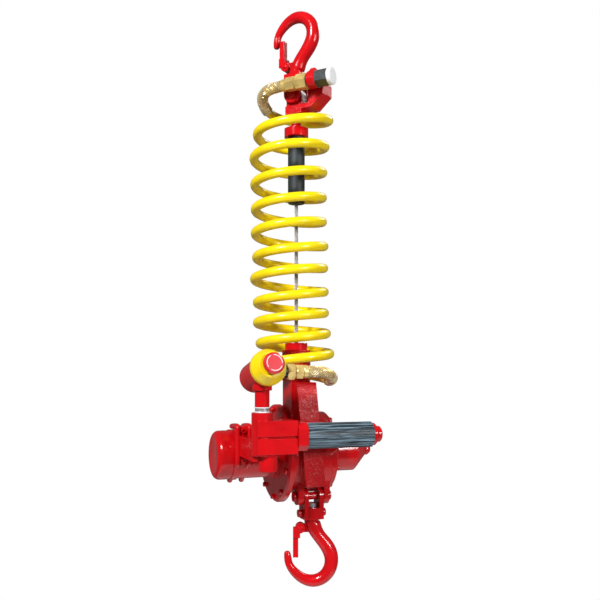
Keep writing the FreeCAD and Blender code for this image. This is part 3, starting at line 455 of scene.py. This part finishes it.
def soft_rubber():
    """Matt black rubber with a bluish bloom."""
    colour = bpy.context.scene.balancer_colours.black_rubber
    finish = Finish("soft_rubber", Specular_IOR_Level=0.4)
    bloom = finish.noise(45.0, 4.0)
    finish.set("Base Color", finish.mix(bloom.ramp(0.35, 0.75), shade(colour, 0.8), shade(colour, 2.2)))
    finish.set("Roughness", 0.42 + finish.noise(500.0) * 0.25)
    finish.bump(finish.noise(1300.0, 3.0), 0.00012)
    return finish.material


def ribbed_rubber():
    """Blue-grey rubber of the hand grip, with streaks along it: dark ones are painted shade of its grooves,
    pale ones painted highlights along its ribs.
    """
    colour = bpy.context.scene.balancer_colours.grip_rubber
    finish = Finish("ribbed_rubber", Specular_IOR_Level=0.4)
    along = finish.node(
        "ShaderNodeVectorMath", {"operation": "MULTIPLY"},
        {0: finish.place(), 1: (9.0, 380.0, 380.0)})["Vector"]
    streak = finish.noise(1.0, 3.0, 0.6, along)
    # Painted shade and highlight: streaks stretched along the grip, darkened to 0.25 of the colour as
    # painted shade for the grooves and lightened to 2.1 of it as painted highlights along the ribs.
    finish.set("Base Color", finish.mix(streak.ramp(0.42, 0.64), shade(colour, 0.25), shade(colour, 2.1)))
    finish.set("Roughness", 0.36 + streak * 0.25)
    finish.bump(streak, 0.0006)
    return finish.material


def black_oxide():
    """Black oxide with lighter rubbed faces."""
    colour = bpy.context.scene.balancer_colours.black_rubber
    finish = Finish("black_oxide", Coat_Weight=0.3, Coat_Roughness=0.1)
    rub = finish.noise(160.0, 4.0)
    finish.set("Base Color", finish.mix(rub.ramp(0.45, 0.8), shade(colour, 0.9), shade(colour, 3.0)))
    finish.set("Roughness", 0.34 + rub * 0.2)
    finish.bump(finish.noise(900.0), 0.00008)
    return finish.material


def floor_paper():
    """Pale matt paper of the studio floor."""
    finish = Finish("floor_paper", Specular_IOR_Level=0.2)
    grain = finish.noise(400.0, 3.0)
    finish.set("Base Color", finish.mix(grain, (0.92, 0.92, 0.92, 1.0), (0.96, 0.96, 0.96, 1.0)))
    finish.set("Roughness", 0.75 + grain * 0.15)
    return finish.material


def braid_core():
    """Hose under the wires of the braid, its colour darkened as painted shade among the wires, with a random
    mottle.
    """
    colours = bpy.context.scene.balancer_colours
    finish = Finish("braid_core", Metallic=0.6)
    painted_shade_mottle = finish.noise(200.0, 3.0)
    # Painted shade: the core's colour is the brass darkened to between 0.35 and 0.55 of it, with a random
    # mottle between the two.
    finish.set("Base Color", finish.mix(painted_shade_mottle, shade(colours.brass, 0.35), shade(colours.brass, 0.55)))
    finish.set("Roughness", 0.4 + painted_shade_mottle * 0.2)
    finish.bump(finish.noise(900.0), 0.0001)
    return finish.material


def bright_wire():
    """Wire of the braid, tinned brass."""
    colours = bpy.context.scene.balancer_colours
    tinned = [(a + b) / 2.0 for a, b in zip(colours.steel, colours.brass)]
    return metal("bright_wire", tinned, 0.3, 0.26, 300.0)


# Which finish each node of the frame gets; nodes that a new piece replaces are left out.
NODE_FINISHES = {
    cast_paint: ("hanger_block", "frame_casting"),
    forged_paint: (
        "top_hook", "load_hook", "top_latch", "load_latch", "side_plate", "gear_cover", "motor_case",
        "valve_body", "stop_body", "handle_flange", "load_yoke"),
    machined_paint: (
        "rope_socket", "rope_guide", "valve_column", "grip_cap", "clevis_pin", "yoke_bolts"),
    black_oxide: ("inlet_adapter",),
    cap_plastic: ("inlet_cap",),
    soft_rubber: ("rope_stopper",),
    ribbed_rubber: ("grip_rubber",),
    bright_steel: (
        "hanger_pin", "top_latch_pin", "load_latch_pin", "column_ring", "lower_hose_adapter",
        "handle_spindle", "hook_nut", "drum_bearing_left", "drum_bearing_right", "rope_drum",
        "rope_wraps", "motor_rotor", "planet_carrier"),
    base_plastic: ("stop_base",),
    button_plastic: ("stop_button",),
}


def finish_of(maker):
    """The material that a finish function makes, made once and named like it."""
    return bpy.data.materials.get(maker.__name__) or maker()


def new_piece(name, points, faces, maker, slot):
    """A mesh object from plain points and faces, with its finish; the slot is not used."""
    mesh = bpy.data.meshes.new(name)
    mesh.from_pydata(points, [], faces)
    mesh.polygons.foreach_set("use_smooth", [True] * len(mesh.polygons))
    mesh.set_sharp_from_angle(angle=SHARP_EDGE)
    piece = bpy.data.objects.new(name, mesh)
    bpy.context.scene.collection.objects.link(piece)
    mesh.materials.append(finish_of(maker))
    return piece if slot else piece


def read_line(name, points, resolution):
    """Points along the smooth line that a route's control points give."""
    data = bpy.data.curves.new(name, "CURVE")
    data.dimensions = "3D"
    data.resolution_u = resolution
    spline = data.splines.new("NURBS")
    spline.points.add(len(points) - 1)
    for target, point in zip(spline.points, points):
        target.co = (*point, 1.0)
    spline.order_u = 3
    spline.use_endpoint_u = True
    holder = bpy.data.objects.new(name, data)
    bpy.context.scene.collection.objects.link(holder)
    bpy.context.view_layer.update()
    mesh = bpy.data.meshes.new_from_object(holder)
    line = [v.co.copy() for v in mesh.vertices]
    bpy.data.meshes.remove(mesh)
    bpy.data.objects.remove(holder)
    bpy.data.curves.remove(data)
    return line


def running_lengths(line):
    """How far along the line each of its points lies."""
    lengths = [0.0]
    for a, b in zip(line, line[1:]):
        lengths.append(lengths[-1] + (b - a).length)
    return lengths


def side_steps(line):
    """A side and an up vector for every point, carried along the line without twist."""
    ways = [(b - a).normalized() for a, b in zip([line[0], *line], [line[1], *line[1:]])]
    ways = [(a + b).normalized() for a, b in zip(ways, [*ways[1:], ways[-1]])]
    side = ways[0].orthogonal().normalized()
    steps = []
    for way in ways:
        side = (side - way * side.dot(way)).normalized()
        steps.append((side, way.cross(side)))
    return steps


def round_about(side, up, angle):
    """A unit step away from an axis, turned about it."""
    return side * math.cos(angle) + up * math.sin(angle)


def closed_skin(rows, sides):
    """Faces over rows of points round an axis, with a cap on each end."""
    faces = []
    for row in range(rows - 1):
        for i in range(sides):
            a, b = row * sides + i, row * sides + (i + 1) % sides
            faces.append((a, b, b + sides, a + sides))
    faces.append(tuple(reversed(range(sides))))
    faces.append(tuple(range((rows - 1) * sides, rows * sides)))
    return faces


def tube(name, line, radius, maker, slot, sides=14):
    """A round closed tube along a line, its map coordinates round it and along it in metres."""
    points = []
    for at, (side, up) in zip(line, side_steps(line)):
        for i in range(sides):
            points.append(at + round_about(side, up, 2 * math.pi * i / sides) * radius)
    piece = new_piece(name, points, closed_skin(len(line), sides), maker, slot)
    lengths = running_lengths(line)
    layer = piece.data.uv_layers.new(name="UVMap")
    for face in piece.data.polygons:
        first = min(v % sides for v in face.vertices)
        for loop, vertex in zip(face.loop_indices, face.vertices):
            around = vertex % sides
            if first == 0 and around == sides - 1 and len(face.vertices) == 4:
                around = -1
            layer.data[loop].uv = (around / sides, lengths[vertex // sides])
    return piece


def fill_out(piece, line, first, last, radius):
    """Thin a tube's mesh between two rings and let a modifier fill it out again, so that it stays round
    when its bodies pull it long."""
    sides = len(piece.data.vertices) // len(line)
    free = piece.vertex_groups.new(name="free")
    for row, at in enumerate(line):
        share = max(0.0, min(1.0, 1.0 + min(row - first, last - row) / EASE_RINGS))
        ring = list(range(row * sides, (row + 1) * sides))
        for i in ring:
            vertex = piece.data.vertices[i]
            vertex.co = at + (vertex.co - at) * (1.0 - share * (1.0 - THIN_SHARE))
        free.add(ring, share, "REPLACE")
    swell = piece.modifiers.new("fill_out", "DISPLACE")
    swell.vertex_group = free.name
    swell.mid_level = 0.0
    swell.strength = radius * (1.0 - THIN_SHARE)


def turned_piece(name, start, way, stations, maker, slot, sides=48):
    """A closed turned piece: each station is a place along its axis, a radius and a hexagon's flats or 0."""
    way = Vector(way).normalized()
    upright = Vector((1, 0, 0)) if abs(way.z) > 0.9 else Vector((0, 0, 1))
    side = upright.cross(way).normalized()
    up = way.cross(side)
    points = []
    for far, radius, flats in stations:
        for i in range(sides):
            angle = 2 * math.pi * i / sides
            reach = radius
            if flats:
                reach = min(radius, flats / 2 / math.cos(angle % (math.pi / 3) - math.pi / 6))
            points.append(Vector(start) + way * far + round_about(side, up, angle) * reach)
    return new_piece(name, points, closed_skin(len(stations), sides), maker, slot)


def hexagon_part(first, length, flats):
    """Stations of a hexagon with turned-down corners at both ends."""
    corner, slope = flats / math.sqrt(3), flats / 14
    end = first + length
    return [
        (first, flats * 0.49, flats), (first + slope, corner, flats),
        (end - slope, corner, flats), (end, flats * 0.49, flats)]


def thread(name, centre, low, high, radius, pitch, maker, slot):
    """The ridge of a screw thread round an upright bar."""
    count = math.ceil((high - low) / pitch * THREAD_STEPS)
    line = []
    for i in range(count + 1):
        angle = 2 * math.pi * i / THREAD_STEPS
        height = low + (high - low) * i / count
        reach = Vector((radius * math.cos(angle), radius * math.sin(angle), height))
        line.append(Vector((*centre, 0)) + reach)
    return tube(name, line, pitch * 0.3, maker, slot, 6)


def joined(name, pieces):
    """Several pieces as one."""
    with bpy.context.temp_override(active_object=pieces[0], selected_editable_objects=pieces):
        bpy.ops.object.join()
    pieces[0].name = name
    return pieces[0]


def between(marks, angle):
    """Values of a falling table at an angle, straight between its marks."""
    for (high, *start), (low, *end) in zip(marks, marks[1:]):
        if angle >= low:
            share = (high - angle) / (high - low)
            return [a + (b - a) * share for a, b in zip(start, end)]
    return marks[-1][1:]


def hose_line():
    """The hose from ferrule to ferrule: upper lead, turns of the coil and lower lead."""
    sizes = bpy.context.scene.balancer_sizes
    turn = Matrix.Rotation(sizes.upper_turn, 3, "Z")
    upper = [turn @ Vector(p) for p in UPPER_ROUTE]
    lower = [Vector(p) + Vector((0, 0, sizes.stop_height)) for p in reversed(LOWER_ROUTE)]
    first = math.atan2(upper[-1].y, upper[-1].x)
    last = math.atan2(lower[0].y, lower[0].x) - 2 * math.pi * len(COIL_FRONTS)
    view_turn = bpy.context.scene.balancer_view.turn
    across = Vector((math.cos(view_turn), math.sin(view_turn), 0))
    front = view_turn - math.pi / 2
    marks = [(first, upper[-1].z, 0.0, upper[-1].xy.length)]
    marks += [(front - 2 * math.pi * k, *turn) for k, turn in enumerate(COIL_FRONTS)]
    marks.append((last, lower[0].z, 0.0, lower[0].xy.length))
    steps = round((first - last) / (2 * math.pi) * sizes.turn_points)
    step = (first - last) / steps
    coil = []
    for i in range(1, steps):
        angle = first - i * step
        height, shift, radius = between(marks, angle)
        reach = radius / math.cos(step / 2)
        coil.append(Vector((reach * math.cos(angle), reach * math.sin(angle), height)) + across * shift)
    return upper, coil, lower


def braid_wires(name, line, hand, maker):
    """Wires that wind one way round a line, waving over and under those of the other hand."""
    sizes = bpy.context.scene.balancer_sizes
    radius = sizes.sleeve_diameter / 2
    wires = []
    for k in range(sizes.braid_count):
        path = []
        for at, far, (side, up) in zip(line, running_lengths(line), side_steps(line)):
            turn = 2 * math.pi * far / sizes.braid_lay
            angle = hand * turn + 2 * math.pi * k / sizes.braid_count
            reach = radius + hand * sizes.braid_wire * 0.4 * math.cos(sizes.braid_count * turn)
            path.append(at + round_about(side, up, angle) * reach)
        wires.append(tube(f"{name}_{k}", path, sizes.braid_wire, maker, "braid", 6))
    return joined(name, wires)


class BALANCER_OT_hose(bpy.types.Operator):
    """Make the curly hose and the braided sleeves on its two ends."""

    bl_idname = "balancer.hose"
    bl_label = "Curly hose"

    def execute(self, context):
        sizes = context.scene.balancer_sizes
        upper, coil, lower = hose_line()
        line = read_line("hose_route", [*upper, *coil, *lower], HOSE_SMOOTHNESS)
        half = len(line) // 2
        top = min(range(half), key=lambda i: (line[i] - upper[-1]).length)
        low = min(range(half, len(line)), key=lambda i: (line[i] - lower[0]).length)
        core_radius = sizes.sleeve_diameter / 2 - sizes.braid_wire
        for node, run, body in (
            ("upper_sleeve", line[:top + 1], "hanger"), ("lower_sleeve", line[low:], "hoist"),
        ):
            # The core carries painted shade: its finish is the brass darkened to stand in for the shade
            # among the braid's wires.
            core = tube(f"{node}_core", run, core_radius, braid_core, "braid", 20)
            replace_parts(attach(core, body), node)
            for hand, maker in ((1, polished_brass), (-1, bright_wire)):
                wires = braid_wires(f"{node}_{maker.__name__}", run, hand, maker)
                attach(wires, body)
        hose = tube("curly_hose", line, sizes.hose_diameter / 2, hose_plastic, "yellow_hose")
        fill_out(hose, line, top - HIDDEN_RINGS, low + HIDDEN_RINGS, sizes.hose_diameter / 2)
        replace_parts(hose, "coil_hose")
        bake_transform(hose)
        running_lengths(line)[-1]
        return {"FINISHED"}


class BALANCER_OT_rope(bpy.types.Operator):
    """Lay up the wire rope from its strands."""

    bl_idname = "balancer.rope"
    bl_label = "Wire rope"

    def execute(self, context):
        sizes = context.scene.balancer_sizes
        low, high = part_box("wire_rope")
        radius = (high.x - low.x) / 2
        strand = radius / 3
        count = math.ceil((high.z - low.z) / sizes.rope_lay * 14)
        strands = []
        for k in range(sizes.rope_strands):
            line = []
            for i in range(count + 1):
                fall = (high.z - low.z) * i / count
                angle = 2 * math.pi * (k / sizes.rope_strands - fall / sizes.rope_lay)
                reach = radius - strand
                line.append(Vector((reach * math.cos(angle), reach * math.sin(angle), high.z - fall)))
            strands.append(tube(f"rope_strand_{k}", line, strand * 1.04, rope_wire, "steel", 8))
        rope = joined("rope_strands", strands)
        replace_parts(rope, "wire_rope")
        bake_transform(rope)
        return {"FINISHED"}


class BALANCER_OT_hose_ends(bpy.types.Operator):
    """Make the brass nuts and ferrules at both ends of the hose."""

    bl_idname = "balancer.hose_ends"
    bl_label = "Brass hose ends"

    def execute(self, context):
        sizes = context.scene.balancer_sizes
        upper, _, lower = hose_line()
        for prefix, first, second, ferrule, nut, body in (
            ("upper", upper[0], upper[1], sizes.upper_ferrule, sizes.upper_nut, "hanger"),
            ("lower", lower[-1], lower[-2], sizes.lower_ferrule, sizes.lower_nut, "hoist"),
        ):
            way = first - second
            rise, fall = CRIMP_CHAMFERS
            stations = [
                (0.0, CRIMP_MOUTH, 0), (rise, CRIMP_RADIUS, 0),
                (CRIMP_LENGTH - fall, CRIMP_RADIUS, 0), (CRIMP_LENGTH, CRIMP_NECK, 0)]
            hexagon = ferrule - CRIMP_LENGTH - GROOVE_LENGTH
            stations += hexagon_part(CRIMP_LENGTH, hexagon, sizes.ferrule_flats)
            stations += [(ferrule - GROOVE_LENGTH, GROOVE_RADIUS, 0), (ferrule, GROOVE_RADIUS, 0)]
            stations += hexagon_part(ferrule, nut - SEAL_LENGTH, sizes.nut_flats)
            end = turned_piece(f"{prefix}_brass", first, way, stations, polished_brass, "brass")
            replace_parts(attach(end, body), f"{prefix}_hose_nut", f"{prefix}_hose_ferrule")
            last = ferrule + nut
            seat = last - SEAL_LENGTH
            ring = [
                (seat, CRIMP_NECK, 0), (seat, SEAL_RADIUS, 0),
                (last, SEAL_RADIUS, 0), (last, CRIMP_NECK, 0)]
            seal = turned_piece(f"{prefix}_seal", first, way, ring, black_oxide, "black_paint")
            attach(seal, body)
        return {"FINISHED"}


class BALANCER_OT_screws(bpy.types.Operator):
    """Put socket-head screws on the motor pad and on both covers of the drum."""

    bl_idname = "balancer.screws"
    bl_label = "Screws"

    def execute(self, context):
        sizes = context.scene.balancer_sizes
        radius, height = sizes.screw_diameter / 2, sizes.screw_height
        head = [
            (0.0, radius, 0), (height * 0.8, radius, 0), (height, radius * 0.86, 0),
            (height, radius * 0.6, radius), (height * 0.4, radius * 0.6, radius)]
        places = []
        low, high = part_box("motor_case")
        near, far = PAD_INSETS
        for x in (low.x + near, high.x - far):
            for z in PAD_SCREWS:
                places.append((Vector((x, low.y, z)), Vector((0, -1, 0))))
        axis = sum(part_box("side_plate"), Vector()) / 2
        for node, way, reach, count in COVER_SCREWS:
            low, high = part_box(node)
            face = low.x if way < 0 else high.x - sizes.gear_dome
            for i in range(count):
                angle = 2 * math.pi * (i + 0.5) / count
                spot = Vector((face, axis.y + reach * math.cos(angle), axis.z + reach * math.sin(angle)))
                places.append((spot, Vector((way, 0, 0))))
        screws = [
            turned_piece(f"screw_{i}", at, way, head, machined_paint, "red_paint", 24)
            for i, (at, way) in enumerate(places)]
        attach(joined("cover_screws", screws), "hoist")
        return {"FINISHED"}


class BALANCER_OT_motor_cap(bpy.types.Operator):
    """Turn the motor's end cap with its rounded rim."""

    bl_idname = "balancer.motor_cap"
    bl_label = "Motor cap"

    def execute(self, context):
        low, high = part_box("motor_cap")
        axis, radius, length = (low + high) / 2, (high.z - low.z) / 2, high.x - low.x
        rim = context.scene.balancer_sizes.cap_rim
        stations = [(0.0, radius, 0)]
        for i in range(RIM_STEPS + 1):
            angle = math.pi / 2 * i / RIM_STEPS
            far = length - rim + rim * math.sin(angle)
            stations.append((far, radius - rim + rim * math.cos(angle), 0))
        stations.append((length - DISH_DEPTH, radius - rim - DISH_STEP, 0))
        cap = turned_piece(
            "rounded_cap", (high.x, axis.y, axis.z), (-1, 0, 0), stations, machined_paint, "red_paint", 96)
        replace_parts(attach(cap, "hoist"), "motor_cap")
        return {"FINISHED"}


class BALANCER_OT_motor_bands(bpy.types.Operator):
    """Cast the raised bands round the motor case and its pad."""

    bl_idname = "balancer.motor_bands"
    bl_label = "Motor bands"

    def execute(self, context):
        radius = context.scene.balancer_sizes.band_diameter / 2
        low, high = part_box("motor_case")
        axis = sum(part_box("motor_cap"), Vector()) / 2
        pad_low, pad_high = PAD_HEIGHTS
        start_back, start_drop = BAND_START
        round_pad = [
            (axis.y - start_back, high.z - start_drop), (low.y + PAD_DEPTH, pad_high), (low.y, pad_high),
            (low.y, pad_high - PAD_CORNER), (low.y, pad_low + PAD_CORNER), (low.y, pad_low),
            (low.y + PAD_DEPTH, pad_low), (axis.y, low.z)]
        bands = []
        for k, share in enumerate(BAND_PLACES):
            x = low.x + (high.x - low.x) * share
            line = read_line("band_route", [(x, y, z) for y, z in round_pad], BAND_SMOOTHNESS)
            bands.append(tube(f"band_{k}", line, radius, cast_paint, "red_paint"))
        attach(joined("motor_bands", bands), "hoist")
        return {"FINISHED"}


class BALANCER_OT_pin_heads(bpy.types.Operator):
    """Rivet both ends of the hanger pin and of the latch pins."""

    bl_idname = "balancer.pin_heads"
    bl_label = "Pin heads"

    def execute(self, context):
        behaviour = frame["record"]["behaviour"]
        axes = {joint["name"]: Vector(joint["axis"]) for joint in behaviour["joints"]}
        for node, joint in PINS.items():
            body = next(name for name, nodes in behaviour["bodies"].items() if node in nodes)
            low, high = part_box(node)
            centre, radius, way = (low + high) / 2, (high.z - low.z) / 2, axes[joint]
            main, other = sorted((0, 1), key=lambda i: -abs(way[i]))
            half = ((high - low)[main] / 2 - radius * abs(way[other])) / abs(way[main])
            head = [
                (0.0, radius * 1.3, 0), (radius * 0.2, radius * 1.3, 0), (radius * 0.5, radius, 0),
                (radius * 0.65, radius * 0.45, 0)]
            heads = [
                turned_piece(
                    f"{node}_head", centre + end * half, end, head, machined_paint, "red_paint", 32)
                for end in (way, -way)]
            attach(joined(f"{node}_heads", heads), body)
        return {"FINISHED"}


class BALANCER_OT_threads(bpy.types.Operator):
    """Cut the threads of the rope socket and of the nipple under the stop valve."""

    bl_idname = "balancer.threads"
    bl_label = "Threads"

    def execute(self, context):
        stem_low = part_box("rope_socket")[0].z + context.scene.balancer_sizes.collar_height
        length, stem_radius, pitch = SOCKET_THREAD
        stem_thread = thread(
            "socket_thread", (0, 0), stem_low, stem_low + length, stem_radius, pitch,
            machined_paint, "red_paint")
        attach(stem_thread, "hanger")
        low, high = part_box("column_ring")
        middle, radius = (low + high) / 2, (high.x - low.x) / 2
        nipple_thread = thread(
            "nipple_thread", middle.xy, low.z + NIPPLE_INSET, high.z - NIPPLE_INSET, radius, NIPPLE_PITCH,
            bright_steel, "steel")
        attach(nipple_thread, "hoist")
        rim = radius + NIPPLE_RIM
        ring = [
            (0.0, radius, 0), (NIPPLE_CHAMFER, rim, 0), (NIPPLE_SEAL - NIPPLE_CHAMFER, rim, 0),
            (NIPPLE_SEAL, radius, 0)]
        for name, z in (("nipple_seal_low", low.z), ("nipple_seal_high", high.z - NIPPLE_SEAL)):
            seal = turned_piece(name, (*middle.xy, z), (0, 0, 1), ring, cap_plastic, "white_plastic")
            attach(seal, "hoist")
        return {"FINISHED"}


class BALANCER_OT_button_marks(bpy.types.Operator):
    """Lay the three pale turning marks on the stop button."""

    bl_idname = "balancer.button_marks"
    bl_label = "Button marks"

    def execute(self, context):
        sizes = context.scene.balancer_sizes
        low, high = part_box("stop_base")
        tilt = sizes.stop_tilt
        way = Vector((0, -math.cos(tilt), math.sin(tilt)))
        up = Vector((0, math.sin(tilt), math.cos(tilt)))
        across = Vector((1, 0, 0))
        valve = Vector(((low.x + high.x) / 2, LOWER_ROUTE[0][1], sizes.stop_height))
        centre = valve + way * sizes.button_face
        marks = []
        for k in range(MARK_COUNT):
            line = []
            for i in range(MARK_STEPS + 1):
                angle = 2 * math.pi * (k + MARK_SHARE * i / MARK_STEPS) / MARK_COUNT
                line.append(centre + round_about(across, up, angle) * sizes.mark_radius)
            marks.append(tube(f"mark_{k}", line, MARK_WIRE, cap_plastic, "white_plastic", 8))
        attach(joined("button_marks", marks), "stop_button")
        return {"FINISHED"}


class BALANCER_OT_paint(bpy.types.Operator):
    """Give every shown node of the frame its finish."""

    bl_idname = "balancer.paint"
    bl_label = "Finishes"

    def execute(self, context):
        for maker, names in NODE_FINISHES.items():
            for name in names:
                mesh = frame["nodes"][name].data
                mesh.materials.clear()
                mesh.materials.append(finish_of(maker))
        return {"FINISHED"}


class BALANCER_OT_stage(bpy.types.Operator):
    """Set up the camera, the lights and the pale room round the part."""

    bl_idname = "balancer.stage"
    bl_label = "Camera and light"

    def execute(self, context):
        scene = context.scene
        view = scene.balancer_view
        back = Vector((math.sin(view.turn), -math.cos(view.turn), 0))
        across = Vector((math.cos(view.turn), math.sin(view.turn), 0))
        aim = Vector((0, 0, view.aim_height)) + across * view.aim_side
        eye = back * view.distance + across * view.aim_side + Vector((0, 0, view.height))
        facing = (aim - eye).to_track_quat("-Z", "Y")
        data = bpy.data.cameras.new("camera")
        data.lens = view.lens
        camera = bpy.data.objects.new("camera", data)
        camera.location = eye
        camera.rotation_mode = "QUATERNION"
        camera.rotation_quaternion = facing
        scene.collection.objects.link(camera)
        scene.camera = camera
        world = bpy.data.worlds.new("room")
        world.use_nodes = True
        sky = world.node_tree.nodes["Background"]
        sky.inputs["Color"].default_value = (1.0, 1.0, 1.0, 1.0)
        seen = world.node_tree.nodes.new("ShaderNodeLightPath")
        level = world.node_tree.nodes.new("ShaderNodeMath")
        level.operation = "MAXIMUM"
        level.inputs[1].default_value = view.room_light
        world.node_tree.links.new(seen.outputs["Is Camera Ray"], level.inputs[0])
        world.node_tree.links.new(level.outputs["Value"], sky.inputs["Strength"])
        scene.world = world
        scene.view_settings.view_transform = "Standard"
        rim = []
        for i in range(FLOOR_SIDES):
            angle = 2 * math.pi * i / FLOOR_SIDES
            x, y = view.floor_radius * math.cos(angle), view.floor_radius * math.sin(angle)
            rim.append((x, y, view.floor_height))
        new_piece("floor", rim, [tuple(range(FLOOR_SIDES))], floor_paper, None)
        for name, spot, extent, power in LAMPS:
            lamp_data = bpy.data.lights.new(name, "AREA")
            lamp_data.size = extent
            lamp_data.energy = power
            lamp = bpy.data.objects.new(name, lamp_data)
            lamp.location = aim + facing @ Vector(spot)
            lamp.rotation_mode = "QUATERNION"
            lamp.rotation_quaternion = (aim - lamp.location).to_track_quat("-Z", "Y")
            scene.collection.objects.link(lamp)
        return {"FINISHED"}


class BALANCER_PT_panel(bpy.types.Panel):
    """Balancer tab of the sidebar."""

    bl_label = "Air balancer"
    bl_idname = "BALANCER_PT_panel"
    bl_space_type = "VIEW_3D"
    bl_region_type = "UI"
    bl_category = "Balancer"

    def draw(self, context):
        for name, group in GROUPS.items():
            for size in group.__annotations__:
                self.layout.prop(getattr(context.scene, name), size)
        for operator in PIECES:
            self.layout.operator(operator.bl_idname)


GROUPS = {
    "balancer_sizes": BalancerSizes,
    "balancer_colours": BalancerColours,
    "balancer_view": BalancerView,
}
PIECES = (
    BALANCER_OT_paint, BALANCER_OT_hose, BALANCER_OT_hose_ends, BALANCER_OT_rope, BALANCER_OT_screws,
    BALANCER_OT_motor_cap, BALANCER_OT_motor_bands, BALANCER_OT_pin_heads, BALANCER_OT_threads,
    BALANCER_OT_button_marks, BALANCER_OT_stage)


def register():
    for name, group in GROUPS.items():
        bpy.utils.register_class(group)
        setattr(bpy.types.Scene, name, bpy.props.PointerProperty(type=group))
    for kind in (*PIECES, BALANCER_PT_panel):
        bpy.utils.register_class(kind)


def unregister():
    for kind in reversed((*PIECES, BALANCER_PT_panel)):
        bpy.utils.unregister_class(kind)
    for name, group in reversed(GROUPS.items()):
        delattr(bpy.types.Scene, name)
        bpy.utils.unregister_class(group)


def main():
    register()
    bpy.ops.balancer.paint()
    bpy.ops.balancer.hose()
    bpy.ops.balancer.hose_ends()
    bpy.ops.balancer.rope()
    bpy.ops.balancer.screws()
    bpy.ops.balancer.motor_cap()
    bpy.ops.balancer.motor_bands()
    bpy.ops.balancer.pin_heads()
    bpy.ops.balancer.threads()
    bpy.ops.balancer.button_marks()
    bpy.ops.balancer.stage()
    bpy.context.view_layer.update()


if __name__ == "__main__":
    main()
